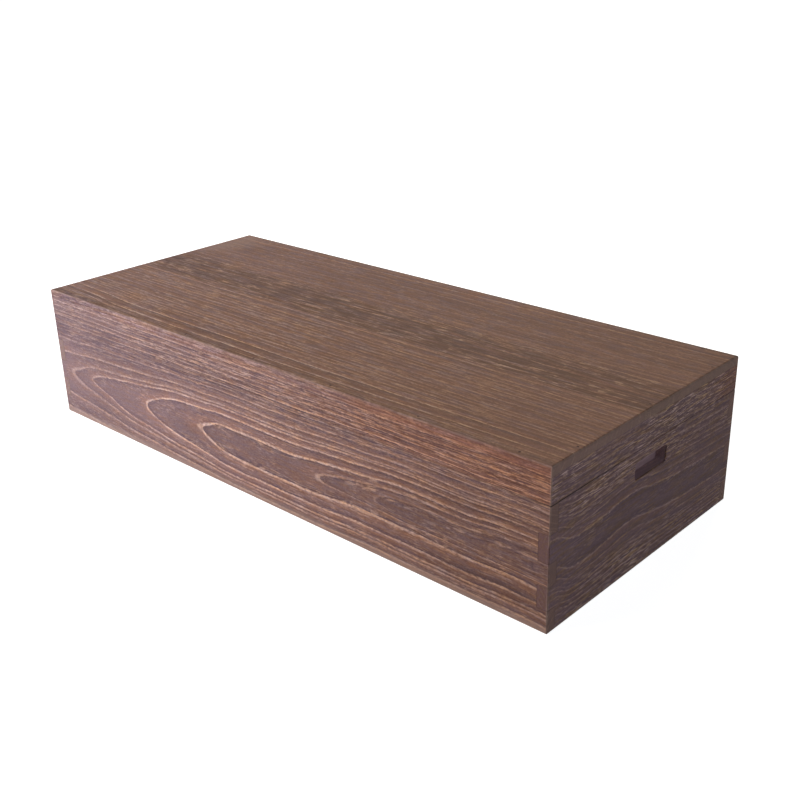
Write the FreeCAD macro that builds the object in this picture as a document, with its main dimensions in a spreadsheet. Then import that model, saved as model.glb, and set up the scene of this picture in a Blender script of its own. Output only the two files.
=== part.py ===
"""Storage box for folded kimono, in charred paulownia wood, with a lid that lifts off.

Millimetres. The origin is the middle of the underside, +X runs to the right along the
length, +Y to the back and +Z up. The lid is modelled closed. Every size is a named cell
of the sheet, and each board is a body whose sketches and depths are bound to those cells.
"""
import FreeCAD, Part
import os
import Sketcher

# Driving sizes: name, value, meaning
SIZES = (
    ("box_length", 910, "outside length of box and lid"),
    ("box_depth", 388, "outside depth of box and lid"),
    ("body_height", 153.1, "floor to the rim that the lid rests on"),
    ("wall_thickness", 14, "thickness of the four walls"),
    ("low_finger_height", 28.5, "each of the three lower fingers of the corner joint"),
    ("arris", 0.8, "flat planed on each upright outer corner"),
    ("seam_ease", 0.6, "flat along the rim, the floor edge and the lid's lower edge"),
    ("hole_width", 67, "hand hole, along the end"),
    ("hole_height", 22, "hand hole, upwards"),
    ("hole_drop", 14.6, "rim down to the top of the hand hole"),
    ("hole_corner", 5, "corner radius left by the cutter"),
    ("hole_ease", 1, "rounding of the hand hole's mouth"),
    ("lip_thickness", 6, "inner lip boards"),
    ("lip_rise", 12, "how far the lip stands above the rim"),
    ("lip_cover", 10, "how far the lip reaches below the hand hole"),
    ("lip_lead", 1.5, "bevel on the lip that leads the lid on"),
    ("lip_ease", 0.6, "bevel on the lip's inner top edge"),
    ("lid_play", 0.4, "gap between the lip and the lid's rails"),
    ("lip_peg_diameter", 2.4, "pegs that hold the lip to the walls"),
    ("lip_peg_bite", 7, "how deep those pegs go into a wall"),
    ("lip_peg_drop", 30, "rim down to those pegs"),
    ("lip_peg_inset", 45, "last of those pegs to the inner corner"),
    ("lip_peg_margin", 16, "side of the hand hole to the next peg"),
    ("bottom_thickness", 8, "bottom panel"),
    ("groove_depth", 4, "groove in the walls that holds the bottom panel"),
    ("groove_floor", 4, "floor up to the groove"),
    ("panel_play", 0.4, "room left at the panel's edges for it to swell"),
    ("bottom_middle_width", 124, "middle stave of the bottom panel"),
    ("lid_board_thickness", 11, "top board of the lid"),
    ("lid_rail_height", 33.4, "rails under the top board"),
    ("lid_edge_round", 3, "rounding of the top board's outer edges"),
    ("front_stave_width", 168, "front stave of the top board"),
    ("middle_stave_width", 85, "middle stave of the top board"),
    ("lid_peg_diameter", 3, "pegs that hold the top board to the rails"),
    ("lid_peg_length", 26, "those pegs, through the board and into the rail"),
    ("lid_peg_inset_long", 45, "last peg of a long rail to the end of the lid"),
    ("lid_peg_inset_short", 54, "outer pegs of a short rail to the front or back"),
    ("lid_peg_setback", 26, "middle peg of a short rail behind the front seam"),
    ("peg_fit", 0.05, "glue room around a peg"),
    ("overrun", 2, "how far a cut runs past the wood"),
)

# Pegs in each long lip board and in each long rail of the lid
LONG_LIP_PEG_COUNT = 6
LONG_RAIL_PEG_COUNT = 7

# A plane's role, and the side of it that a pad grows to, for each axis
PLANES = {"X": ("YZ_Plane", 1), "Y": ("XZ_Plane", -1), "Z": ("XY_Plane", 1)}

doc = FreeCAD.newDocument("kimono_box")
sheet = doc.addObject("Spreadsheet::Sheet", "Sizes")
for row, (alias, number, meaning) in enumerate(SIZES, start=1):
    sheet.set(f"A{row}", meaning)
    sheet.set(f"B{row}", str(number))
    sheet.setAlias(f"B{row}", alias)
doc.recompute()

# Places that several boards share, as formulas on the sheet
END = "(Sizes.box_length / 2)"
SIDE = "(Sizes.box_depth / 2)"
END_INNER = f"({END} - Sizes.wall_thickness)"
SIDE_INNER = f"({SIDE} - Sizes.wall_thickness)"
RIM = "Sizes.body_height"
LID_SEAT = "(Sizes.body_height + Sizes.lid_rail_height)"
LID_TOP = f"({LID_SEAT} + Sizes.lid_board_thickness)"
HOLE_TOP = "(Sizes.body_height - Sizes.hole_drop)"
HOLE_SILL = f"({HOLE_TOP} - Sizes.hole_height)"
LIP_FOOT = f"({HOLE_SILL} - Sizes.lip_cover)"
LIP_TOP = "(Sizes.body_height + Sizes.lip_rise)"
LIP_PEG_LEVEL = "(Sizes.body_height - Sizes.lip_peg_drop)"
RAIL = "(Sizes.wall_thickness - Sizes.lid_play)"
LOW = "Sizes.low_finger_height"
# Levels between the five fingers: three alike below, and two that share the rest
LEVELS = ("0", LOW, f"(2 * {LOW})", f"(3 * {LOW})", f"((3 * {LOW} + {RIM}) / 2)", RIM)


def size(formula):
    """Return what a formula on the sheet comes to."""
    return float(sheet.evalExpression(formula))


def draw_outline(sketch, points):
    """Draw a closed outline whose corners are pairs of formulas."""
    first = sketch.GeometryCount
    corners = [FreeCAD.Vector(size(u), size(v), 0) for u, v in points]
    for here, there in zip(corners, corners[1:] + corners[:1]):
        sketch.addGeometry(Part.LineSegment(here, there), False)
    for index, (u, v) in enumerate(points):
        line = first + index
        following = first + (index + 1) % len(points)
        sketch.addConstraint(Sketcher.Constraint("Coincident", line, 2, following, 1))
        for kind, formula in (("DistanceX", u), ("DistanceY", v)):
            bind(sketch, Sketcher.Constraint(kind, -1, 1, line, 1, size(formula)), formula)


def draw_circle(sketch, centre, diameter):
    """Draw a circle whose centre is a pair of formulas."""
    middle = FreeCAD.Vector(size(centre[0]), size(centre[1]), 0)
    radius = f"({diameter}) / 2"
    up = FreeCAD.Vector(0, 0, 1)
    circle = sketch.addGeometry(Part.Circle(middle, up, size(radius)), False)
    bind(sketch, Sketcher.Constraint("Radius", circle, size(radius)), radius)
    for kind, formula in zip(("DistanceX", "DistanceY"), centre):
        bind(sketch, Sketcher.Constraint(kind, -1, 1, circle, 3, size(formula)), formula)


def bind(sketch, constraint, formula):
    """Add a constraint to a sketch and tie its value to a formula."""
    index = sketch.addConstraint(constraint)
    sketch.setExpression(f"Constraints[{index}]", formula)


def between(body, kind, name, axis, low, high, outlines=(), circles=()):
    """Pad or pocket a body between two places along an axis.

    The outlines and the circles, each circle a centre and a diameter, lie across the axis.
    """
    role, side = PLANES[axis]
    plane = next(item for item in body.Origin.OriginFeatures if item.Role == role)
    sketch = body.newObject("Sketcher::SketchObject", f"{body.Name}_{name}_sketch")
    sketch.AttachmentSupport = [(plane, "")]
    sketch.MapMode = "FlatFace"
    start = low if (kind == "Pad") == (side > 0) else high
    sketch.setExpression("AttachmentOffset.Base.z", start if side > 0 else f"-({start})")
    for points in outlines:
        draw_outline(sketch, points)
    for centre, diameter in circles:
        draw_circle(sketch, centre, diameter)
    before = body.Shape.Volume if body.Tip else 0
    feature = body.newObject(f"PartDesign::{kind}", f"{body.Name}_{name}")
    feature.Profile = sketch
    feature.setExpression("Length", f"({high}) - ({low})")
    sketch.Visibility = False
    doc.recompute()
    grown = body.Shape.Volume - before
    if (grown if kind == "Pad" else -grown) < tolerance() ** 3:
        raise RuntimeError(f"{feature.Name} changed nothing")
    return feature


def dress(body, kind, name, amount, test):
    """Round or bevel the edges of a body whose middles pass a test."""
    base = body.Tip
    names = [
        f"Edge{number}"
        for number, edge in enumerate(base.Shape.Edges, start=1)
        if test(edge.valueAt((edge.FirstParameter + edge.LastParameter) / 2))
    ]
    if not names:
        raise RuntimeError(f"{body.Name} has no edge for {name}")
    feature = body.newObject(f"PartDesign::{kind}", f"{body.Name}_{name}")
    feature.Base = (base, names)
    feature.setExpression("Radius" if kind == "Fillet" else "Size", amount)
    doc.recompute()
    return feature


def rectangle(u_low, u_high, v_low, v_high):
    """Return the four corners of a rectangle."""
    return ((u_low, v_low), (u_high, v_low), (u_high, v_high), (u_low, v_high))


def new_board(node, x_low, x_high, y_low, y_high, low, high):
    """Start a body with a plain board."""
    body = doc.addObject("PartDesign::Body", node)
    body.Label = node
    plan = rectangle(x_low, x_high, y_low, y_high)
    between(body, "Pad", "board", "Z", low, high, outlines=(plan,))
    return body


def tolerance():
    """Return how far apart two places may be and still count as one."""
    return size("Sizes.seam_ease") / 100


def near(one, other):
    """Say whether two places are the same."""
    return abs(one - other) < tolerance()


def outside(point):
    """Say whether a point lies on the box's upright outer faces or planed corners."""
    depth = min(size(END) - abs(point.x), size(SIDE) - abs(point.y))
    return depth < size("Sizes.arris") * 3 / 4


def plane_arrises(body, low, high, *corners):
    """Plane a narrow flat on upright outer corners, each given by its two signs."""
    over = "Sizes.overrun"
    outlines = []
    for sign_x, sign_y in corners:
        x_back = f"{sign_x} * ({END} - Sizes.arris - {over})"
        x_past = f"{sign_x} * ({END} + {over})"
        y_back = f"{sign_y} * ({SIDE} - Sizes.arris - {over})"
        y_past = f"{sign_y} * ({SIDE} + {over})"
        outlines.append(((x_back, y_past), (x_past, y_past), (x_past, y_back)))
    foot = f"{low} - {over}"
    head = f"{high} + {over}"
    between(body, "Pocket", "arris", "Z", foot, head, outlines=outlines)


def ease_rim_and_foot(body):
    """Bevel a wall's outer edges at the rim and at the floor."""
    rim = size(RIM)
    dress(body, "Chamfer", "ease", "Sizes.seam_ease",
          lambda middle: outside(middle) and (near(middle.z, rim) or near(middle.z, 0)))


def peg_row(count, reach, level):
    """Return the centres of evenly spaced pegs, from minus reach to reach at one level."""
    places = [f"{reach} * ({2 * step} / {count - 1} - 1)" for step in range(count)]
    return [(place, level) for place in places]


def bottom_groove(sign, start, end):
    """Return the groove's reach into a wall, between its bottom and past the inner face."""
    deep = f"{sign} * ({start} + Sizes.groove_depth)"
    past = f"{sign} * ({start} - Sizes.overrun)"
    reach = rectangle(f"-{end}", end, "Sizes.groove_floor",
                      "Sizes.groove_floor + Sizes.bottom_thickness")
    return (deep, past, reach) if sign < 0 else (past, deep, reach)


def lip_peg_cut(sign, inner):
    """Return where a lip peg's hole starts and ends, from the lip's face into the wall."""
    deep = f"{sign} * ({inner} + Sizes.lip_peg_bite)"
    face = f"{sign} * ({inner} - Sizes.lip_thickness - Sizes.overrun)"
    return (deep, face) if sign < 0 else (face, deep)


# Centres of the pegs along each lip board: (x, z) on the long ones, (y, z) on the short ones
LIP_PEG_HOLE = "Sizes.lip_peg_diameter + 2 * Sizes.peg_fit"
LONG_REACH = f"({END_INNER} - Sizes.lip_peg_inset)"
SHORT_REACH = f"({SIDE_INNER} - Sizes.lip_peg_inset)"
BESIDE_HOLE = "(Sizes.hole_width / 2 + Sizes.lip_peg_margin)"
LONG_LIP_PEGS = peg_row(LONG_LIP_PEG_COUNT, LONG_REACH, LIP_PEG_LEVEL)
SHORT_LIP_PEGS = [(place, LIP_PEG_LEVEL) for place in
                  (f"-{SHORT_REACH}", f"-{BESIDE_HOLE}", BESIDE_HOLE, SHORT_REACH)]

# Lines between the staves of the lid's top board, from front to back
STAVE_LINES = (f"-{SIDE}", f"(-{SIDE} + Sizes.front_stave_width)",
               f"(-{SIDE} + Sizes.front_stave_width + Sizes.middle_stave_width)", SIDE)

# Centres of the lid's pegs, in plan, down the middle of each rail: a row along the front
# and the back, and one peg for each stave along the ends
LID_PEG_HOLE = "Sizes.lid_peg_diameter + 2 * Sizes.peg_fit"
RAIL_LINE_X = f"({END} - {RAIL} / 2)"
RAIL_LINE_Y = f"({SIDE} - {RAIL} / 2)"
LAST_X = f"({END} - Sizes.lid_peg_inset_long)"
LAST_Y = f"({SIDE} - Sizes.lid_peg_inset_short)"
STAVE_PEG_LINES = {"front": f"-{LAST_Y}",
                   "middle": f"({STAVE_LINES[1]} + Sizes.lid_peg_setback)",
                   "back": LAST_Y}
LID_PEGS = {
    "front": peg_row(LONG_RAIL_PEG_COUNT, LAST_X, f"-{RAIL_LINE_Y}"),
    "back": peg_row(LONG_RAIL_PEG_COUNT, LAST_X, RAIL_LINE_Y),
    "left": [(f"-{RAIL_LINE_X}", line) for line in STAVE_PEG_LINES.values()],
    "right": [(RAIL_LINE_X, line) for line in STAVE_PEG_LINES.values()],
}


def long_wall(node, sign):
    """Make the front or back wall: it keeps its own three fingers at each end."""
    faces = (f"{sign} * {SIDE}", f"{sign} * {SIDE_INNER}")
    low, high = faces if sign < 0 else faces[::-1]
    body = new_board(node, f"-{END}", END, low, high, LEVELS[0], RIM)
    plane_arrises(body, LEVELS[0], RIM, (-1, sign), (1, sign))
    past_end = f"({END} + Sizes.overrun)"
    gaps = []
    for foot, head in ((LEVELS[1], LEVELS[2]), (LEVELS[3], LEVELS[4])):
        gaps.append(rectangle(END_INNER, past_end, foot, head))
        gaps.append(rectangle(f"-{past_end}", f"-{END_INNER}", foot, head))
    past = (f"{low} - Sizes.overrun", f"{high} + Sizes.overrun")
    between(body, "Pocket", "fingers", "Y", *past, outlines=gaps)
    low, high, reach = bottom_groove(sign, SIDE_INNER, f"({END_INNER} + Sizes.groove_depth)")
    between(body, "Pocket", "groove", "Y", low, high, outlines=(reach,))
    ease_rim_and_foot(body)
    holes = [(centre, LIP_PEG_HOLE) for centre in LONG_LIP_PEGS]
    between(body, "Pocket", "lip_peg_holes", "Y", *lip_peg_cut(sign, SIDE_INNER), circles=holes)
    return body


def end_wall(node, sign):
    """Make an end wall: two fingers at each end, and a hand hole under the rim."""
    faces = (f"{sign} * {END}", f"{sign} * {END_INNER}")
    low, high = faces if sign < 0 else faces[::-1]
    body = new_board(node, low, high, f"-{SIDE}", SIDE, LEVELS[0], RIM)
    plane_arrises(body, LEVELS[0], RIM, (sign, -1), (sign, 1))
    past_side = f"({SIDE} + Sizes.overrun)"
    gaps = []
    for foot, head in (("-Sizes.overrun", LEVELS[1]), (LEVELS[2], LEVELS[3]),
                       (LEVELS[4], f"{RIM} + Sizes.overrun")):
        gaps.append(rectangle(SIDE_INNER, past_side, foot, head))
        gaps.append(rectangle(f"-{past_side}", f"-{SIDE_INNER}", foot, head))
    past = (f"{low} - Sizes.overrun", f"{high} + Sizes.overrun")
    between(body, "Pocket", "fingers", "X", *past, outlines=gaps)
    groove_low, groove_high, reach = bottom_groove(sign, END_INNER, past_side)
    between(body, "Pocket", "groove", "X", groove_low, groove_high, outlines=(reach,))
    cut_hand_hole(body, sign, past)
    ease_rim_and_foot(body)
    holes = [(centre, LIP_PEG_HOLE) for centre in SHORT_LIP_PEGS]
    between(body, "Pocket", "lip_peg_holes", "X", *lip_peg_cut(sign, END_INNER), circles=holes)
    return body


def cut_hand_hole(body, sign, past):
    """Cut the hand hole through an end wall, with round corners and an eased mouth."""
    half = "Sizes.hole_width / 2"
    opening = rectangle(f"-{half}", half, HOLE_SILL, HOLE_TOP)
    between(body, "Pocket", "hand_hole", "X", *past, outlines=(opening,))
    half_width = size(half)
    sill = size(HOLE_SILL)
    top = size(HOLE_TOP)
    slack = tolerance()

    def at_hole(point):
        """Say whether a point is within the outline of the hand hole."""
        return abs(point.y) < half_width + slack and sill - slack < point.z < top + slack

    dress(body, "Fillet", "hole_corners", "Sizes.hole_corner",
          lambda middle: at_hole(middle) and not near(abs(middle.x), size(END))
          and not near(abs(middle.x), size(END_INNER)))
    face = sign * size(END)
    dress(body, "Fillet", "hole_mouth", "Sizes.hole_ease",
          lambda middle: at_hole(middle) and near(middle.x, face))


def mitred_board(node, side, end_face, side_face, thickness, low, high):
    """Make one of four boards of a frame, mitred at its corners.

    The outer faces of the frame lie at plus and minus end_face and side_face.
    """
    inner_end = f"({end_face} - {thickness})"
    inner_side = f"({side_face} - {thickness})"
    if side in ("front", "back"):
        sign = -1 if side == "front" else 1
        plan = ((f"-{end_face}", f"{sign} * {side_face}"), (end_face, f"{sign} * {side_face}"),
                (inner_end, f"{sign} * {inner_side}"), (f"-{inner_end}", f"{sign} * {inner_side}"))
    else:
        sign = -1 if side == "left" else 1
        plan = ((f"{sign} * {end_face}", f"-{side_face}"), (f"{sign} * {end_face}", side_face),
                (f"{sign} * {inner_end}", inner_side), (f"{sign} * {inner_end}", f"-{inner_side}"))
    body = doc.addObject("PartDesign::Body", node)
    body.Label = node
    between(body, "Pad", "board", "Z", low, high, outlines=(plan,))
    return body


def frame_face(side, end_face, side_face):
    """Return a test that says whether a point is on one face of a frame's side."""
    if side in ("front", "back"):
        place = size(side_face) * (-1 if side == "front" else 1)
        return lambda point: near(point.y, place)
    place = size(end_face) * (-1 if side == "left" else 1)
    return lambda point: near(point.x, place)


def lip_board(side):
    """Make one inner lip board, bevelled where the lid slides down over it."""
    body = mitred_board(f"lip_{side}", side, END_INNER, SIDE_INNER, "Sizes.lip_thickness",
                        LIP_FOOT, LIP_TOP)
    top = size(LIP_TOP)
    outer = frame_face(side, END_INNER, SIDE_INNER)
    dress(body, "Chamfer", "lead", "Sizes.lip_lead",
          lambda middle: near(middle.z, top) and outer(middle))
    inner = frame_face(side, f"{END_INNER} - Sizes.lip_thickness",
                       f"{SIDE_INNER} - Sizes.lip_thickness")
    dress(body, "Chamfer", "ease", "Sizes.lip_ease",
          lambda middle: near(middle.z, top) and inner(middle))
    if side in ("front", "back"):
        axis, face, centres = "Y", SIDE_INNER, LONG_LIP_PEGS
    else:
        axis, face, centres = "X", END_INNER, SHORT_LIP_PEGS
    sign = -1 if side in ("front", "left") else 1
    holes = [(centre, LIP_PEG_HOLE) for centre in centres]
    between(body, "Pocket", "peg_holes", axis, *lip_peg_cut(sign, face), circles=holes)
    return body


def lid_rail(side):
    """Make one rail of the lid, with its peg holes down from the top board."""
    body = mitred_board(f"lid_rail_{side}", side, END, SIDE, RAIL, RIM, LID_SEAT)
    signs = {"front": ((-1, -1), (1, -1)), "back": ((-1, 1), (1, 1)),
             "left": ((-1, -1), (-1, 1)), "right": ((1, -1), (1, 1))}
    plane_arrises(body, RIM, LID_SEAT, *signs[side])
    rim = size(RIM)
    dress(body, "Chamfer", "ease", "Sizes.seam_ease",
          lambda middle: near(middle.z, rim) and outside(middle))
    bore_lid_pegs(body, LID_PEGS[side])
    return body


def lid_stave(name, y_low, y_high, corners):
    """Make one stave of the top board, rounded along the lid's outer top edges."""
    body = new_board(f"lid_stave_{name}", f"-{END}", END, y_low, y_high, LID_SEAT, LID_TOP)
    top = size(LID_TOP)
    dress(body, "Fillet", "round", "Sizes.lid_edge_round",
          lambda middle: near(middle.z, top) and outside(middle))
    if corners:
        plane_arrises(body, LID_SEAT, LID_TOP, *corners)
    own_line = STAVE_PEG_LINES[name]
    bore_lid_pegs(body, LID_PEGS.get(name, []) + [(f"-{RAIL_LINE_X}", own_line),
                                                  (RAIL_LINE_X, own_line)])
    return body


def bore_lid_pegs(body, centres):
    """Bore the lid's peg holes down from the top of the lid."""
    foot = f"{LID_TOP} - Sizes.lid_peg_length"
    holes = [(centre, LID_PEG_HOLE) for centre in centres]
    between(body, "Pocket", "peg_holes", "Z", foot, f"{LID_TOP} + Sizes.overrun", circles=holes)


def bottom_stave(name, y_low, y_high):
    """Make one stave of the bottom panel, which sits in the groove of the walls."""
    reach = f"({END_INNER} + Sizes.groove_depth - Sizes.panel_play)"
    return new_board(f"bottom_stave_{name}", f"-{reach}", reach, y_low, y_high,
                     "Sizes.groove_floor", "Sizes.groove_floor + Sizes.bottom_thickness")


def peg(name, place, diameter, length, turn):
    """Make one peg, from a place given by three formulas and a turn of its axis."""
    pin = doc.addObject("Part::Cylinder", name)
    pin.Placement = FreeCAD.Placement(FreeCAD.Vector(0, 0, 0), turn)
    for letter, formula in zip("xyz", place):
        pin.setExpression(f"Placement.Base.{letter}", formula)
    pin.setExpression("Radius", f"({diameter}) / 2")
    pin.setExpression("Height", length)
    return pin


def peg_group(node, pins):
    """Keep like pegs together as one group of separate solids."""
    group = doc.addObject("Part::Compound", node)
    group.Label = node
    group.Links = pins
    return group


def make_lid_pegs():
    """Make every peg of the lid, upright, with its head flush with the top."""
    centres = [centre for row in LID_PEGS.values() for centre in row]
    foot = f"{LID_TOP} - Sizes.lid_peg_length"
    pins = [peg(f"lid_peg_{number}", (*centre, foot), "Sizes.lid_peg_diameter",
                "Sizes.lid_peg_length", FreeCAD.Rotation())
            for number, centre in enumerate(centres, start=1)]
    return peg_group("lid_pegs", pins)


def make_lip_pegs():
    """Make every peg of the lip, level, with its head flush with the lip's inner face."""
    along_x = FreeCAD.Rotation(FreeCAD.Vector(0, 1, 0), 90)
    along_y = FreeCAD.Rotation(FreeCAD.Vector(1, 0, 0), -90)
    length = "Sizes.lip_thickness + Sizes.lip_peg_bite"
    pins = []
    for face, centres, turn in ((END_INNER, SHORT_LIP_PEGS, along_x),
                                (SIDE_INNER, LONG_LIP_PEGS, along_y)):
        starts = (f"-({face} + Sizes.lip_peg_bite)", f"{face} - Sizes.lip_thickness")
        for start in starts:
            for along, level in centres:
                place = (start, along, level) if turn is along_x else (along, start, level)
                pins.append(peg(f"lip_peg_{len(pins) + 1}", place, "Sizes.lip_peg_diameter",
                                length, turn))
    return peg_group("lip_pegs", pins)


def make_bottom():
    """Make the three staves of the bottom panel."""
    reach = f"({SIDE_INNER} + Sizes.groove_depth - Sizes.panel_play)"
    seam = "(Sizes.bottom_middle_width / 2)"
    return [bottom_stave("front", f"-{reach}", f"-{seam}"),
            bottom_stave("middle", f"-{seam}", seam),
            bottom_stave("back", seam, reach)]


def make_lid_board():
    """Make the three staves of the lid's top board, each with the outer corners it has."""
    corners = {"front": ((-1, -1), (1, -1)), "middle": (), "back": ((-1, 1), (1, 1))}
    return [lid_stave(name, low, high, corners[name])
            for name, low, high in zip(corners, STAVE_LINES, STAVE_LINES[1:])]


def check_document():
    """Stop if any object of the document failed."""
    for item in doc.Objects:
        if "Invalid" in item.State or "Error" in item.State:
            raise RuntimeError(f"{item.Name} failed: {item.State}")


def export(nodes):
    """Check each piece and write it to its own file."""
    os.makedirs("parts", exist_ok=True)
    for node in nodes:
        if node.Shape.isNull() or not node.Shape.isValid() or not node.Shape.Solids:
            raise RuntimeError(f"{node.Label} has no valid shape")
    for node in nodes:
        node.Shape.exportStep(f"parts/{node.Label}.step")
        print(f"{node.Label}: {len(node.Shape.Solids)} solid(s), {node.Shape.Volume / 1000:.1f} cm3")


pieces = [long_wall("front_board", -1), long_wall("back_board", 1),
          end_wall("left_end_board", -1), end_wall("right_end_board", 1)]
pieces += make_bottom()
pieces += [lip_board(side) for side in ("front", "back", "left", "right")]
pieces += [make_lip_pegs()]
pieces += make_lid_board()
pieces += [lid_rail(side) for side in ("front", "back", "left", "right")]
pieces += [make_lid_pegs()]
doc.recompute()
check_document()
export(pieces)
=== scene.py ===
"""Kimono storage box of charred and brushed paulownia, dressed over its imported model.

The boards keep their solids and take solid-wood finishes: every board is cut from a log of its
own, so the same growth rings show on its face, its edges and its end grain. The small wooden
pegs are made again with whittled heads. Lengths are in millimetres unless a name says metres.
"""

from __future__ import annotations

import logging
import math
from dataclasses import dataclass, replace
from enum import Enum
from typing import Mapping, Sequence, Union

import bpy
from mathutils import Matrix, Vector


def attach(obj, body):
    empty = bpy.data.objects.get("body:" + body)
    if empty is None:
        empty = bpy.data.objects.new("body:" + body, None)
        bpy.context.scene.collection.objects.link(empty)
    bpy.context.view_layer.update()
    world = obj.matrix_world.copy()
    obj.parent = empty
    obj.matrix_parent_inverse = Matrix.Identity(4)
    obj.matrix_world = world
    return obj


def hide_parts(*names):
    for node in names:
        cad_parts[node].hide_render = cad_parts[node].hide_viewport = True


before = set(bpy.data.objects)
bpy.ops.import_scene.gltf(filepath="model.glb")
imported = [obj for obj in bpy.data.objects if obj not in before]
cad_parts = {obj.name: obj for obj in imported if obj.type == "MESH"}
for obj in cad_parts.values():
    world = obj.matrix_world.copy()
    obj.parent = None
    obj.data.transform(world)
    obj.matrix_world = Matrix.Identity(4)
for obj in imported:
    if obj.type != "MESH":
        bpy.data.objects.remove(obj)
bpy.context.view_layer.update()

MM = 0.001

Socket = bpy.types.NodeSocket
Tree = bpy.types.NodeTree
Feed = Union[bpy.types.NodeSocket, float, Sequence[float]]
Colour = tuple[float, float, float, float]
Profile = tuple[tuple[float, float], ...]
Patch = tuple[Feed, Feed, Feed]

log = logging.getLogger("kimono_box")


def paint(red: int, green: int, blue: int) -> Colour:
    """Turn a colour as it shows on a screen into the linear colour of a shader.

    Args:
        red: Red, 0 to 255.
        green: Green, 0 to 255.
        blue: Blue, 0 to 255.

    Returns:
        The linear colour with full opacity.
    """
    linear = [value / 255 / 12.92 if value <= 10 else ((value / 255 + 0.055) / 1.055) ** 2.4
              for value in (red, green, blue)]
    return (linear[0], linear[1], linear[2], 1.0)


def steady(value: float) -> Profile:
    """Return a profile that is the same all along."""
    return (0, value), (1, value)


def show(thing: bpy.types.Object) -> None:
    """Put an object into the scene."""
    bpy.context.scene.collection.objects.link(thing)


class Axis(Enum):
    """An axis of the box's frame."""

    X = "X"
    Y = "Y"
    Z = "Z"


class Scorch(Enum):
    """Where a board has been charred."""

    NONE = "none"
    OUTSIDE = "outside"
    HAND_HOLE = "outside and in the hand hole"
    BEHIND_HOLE = "only where it closes the hand hole"


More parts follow.
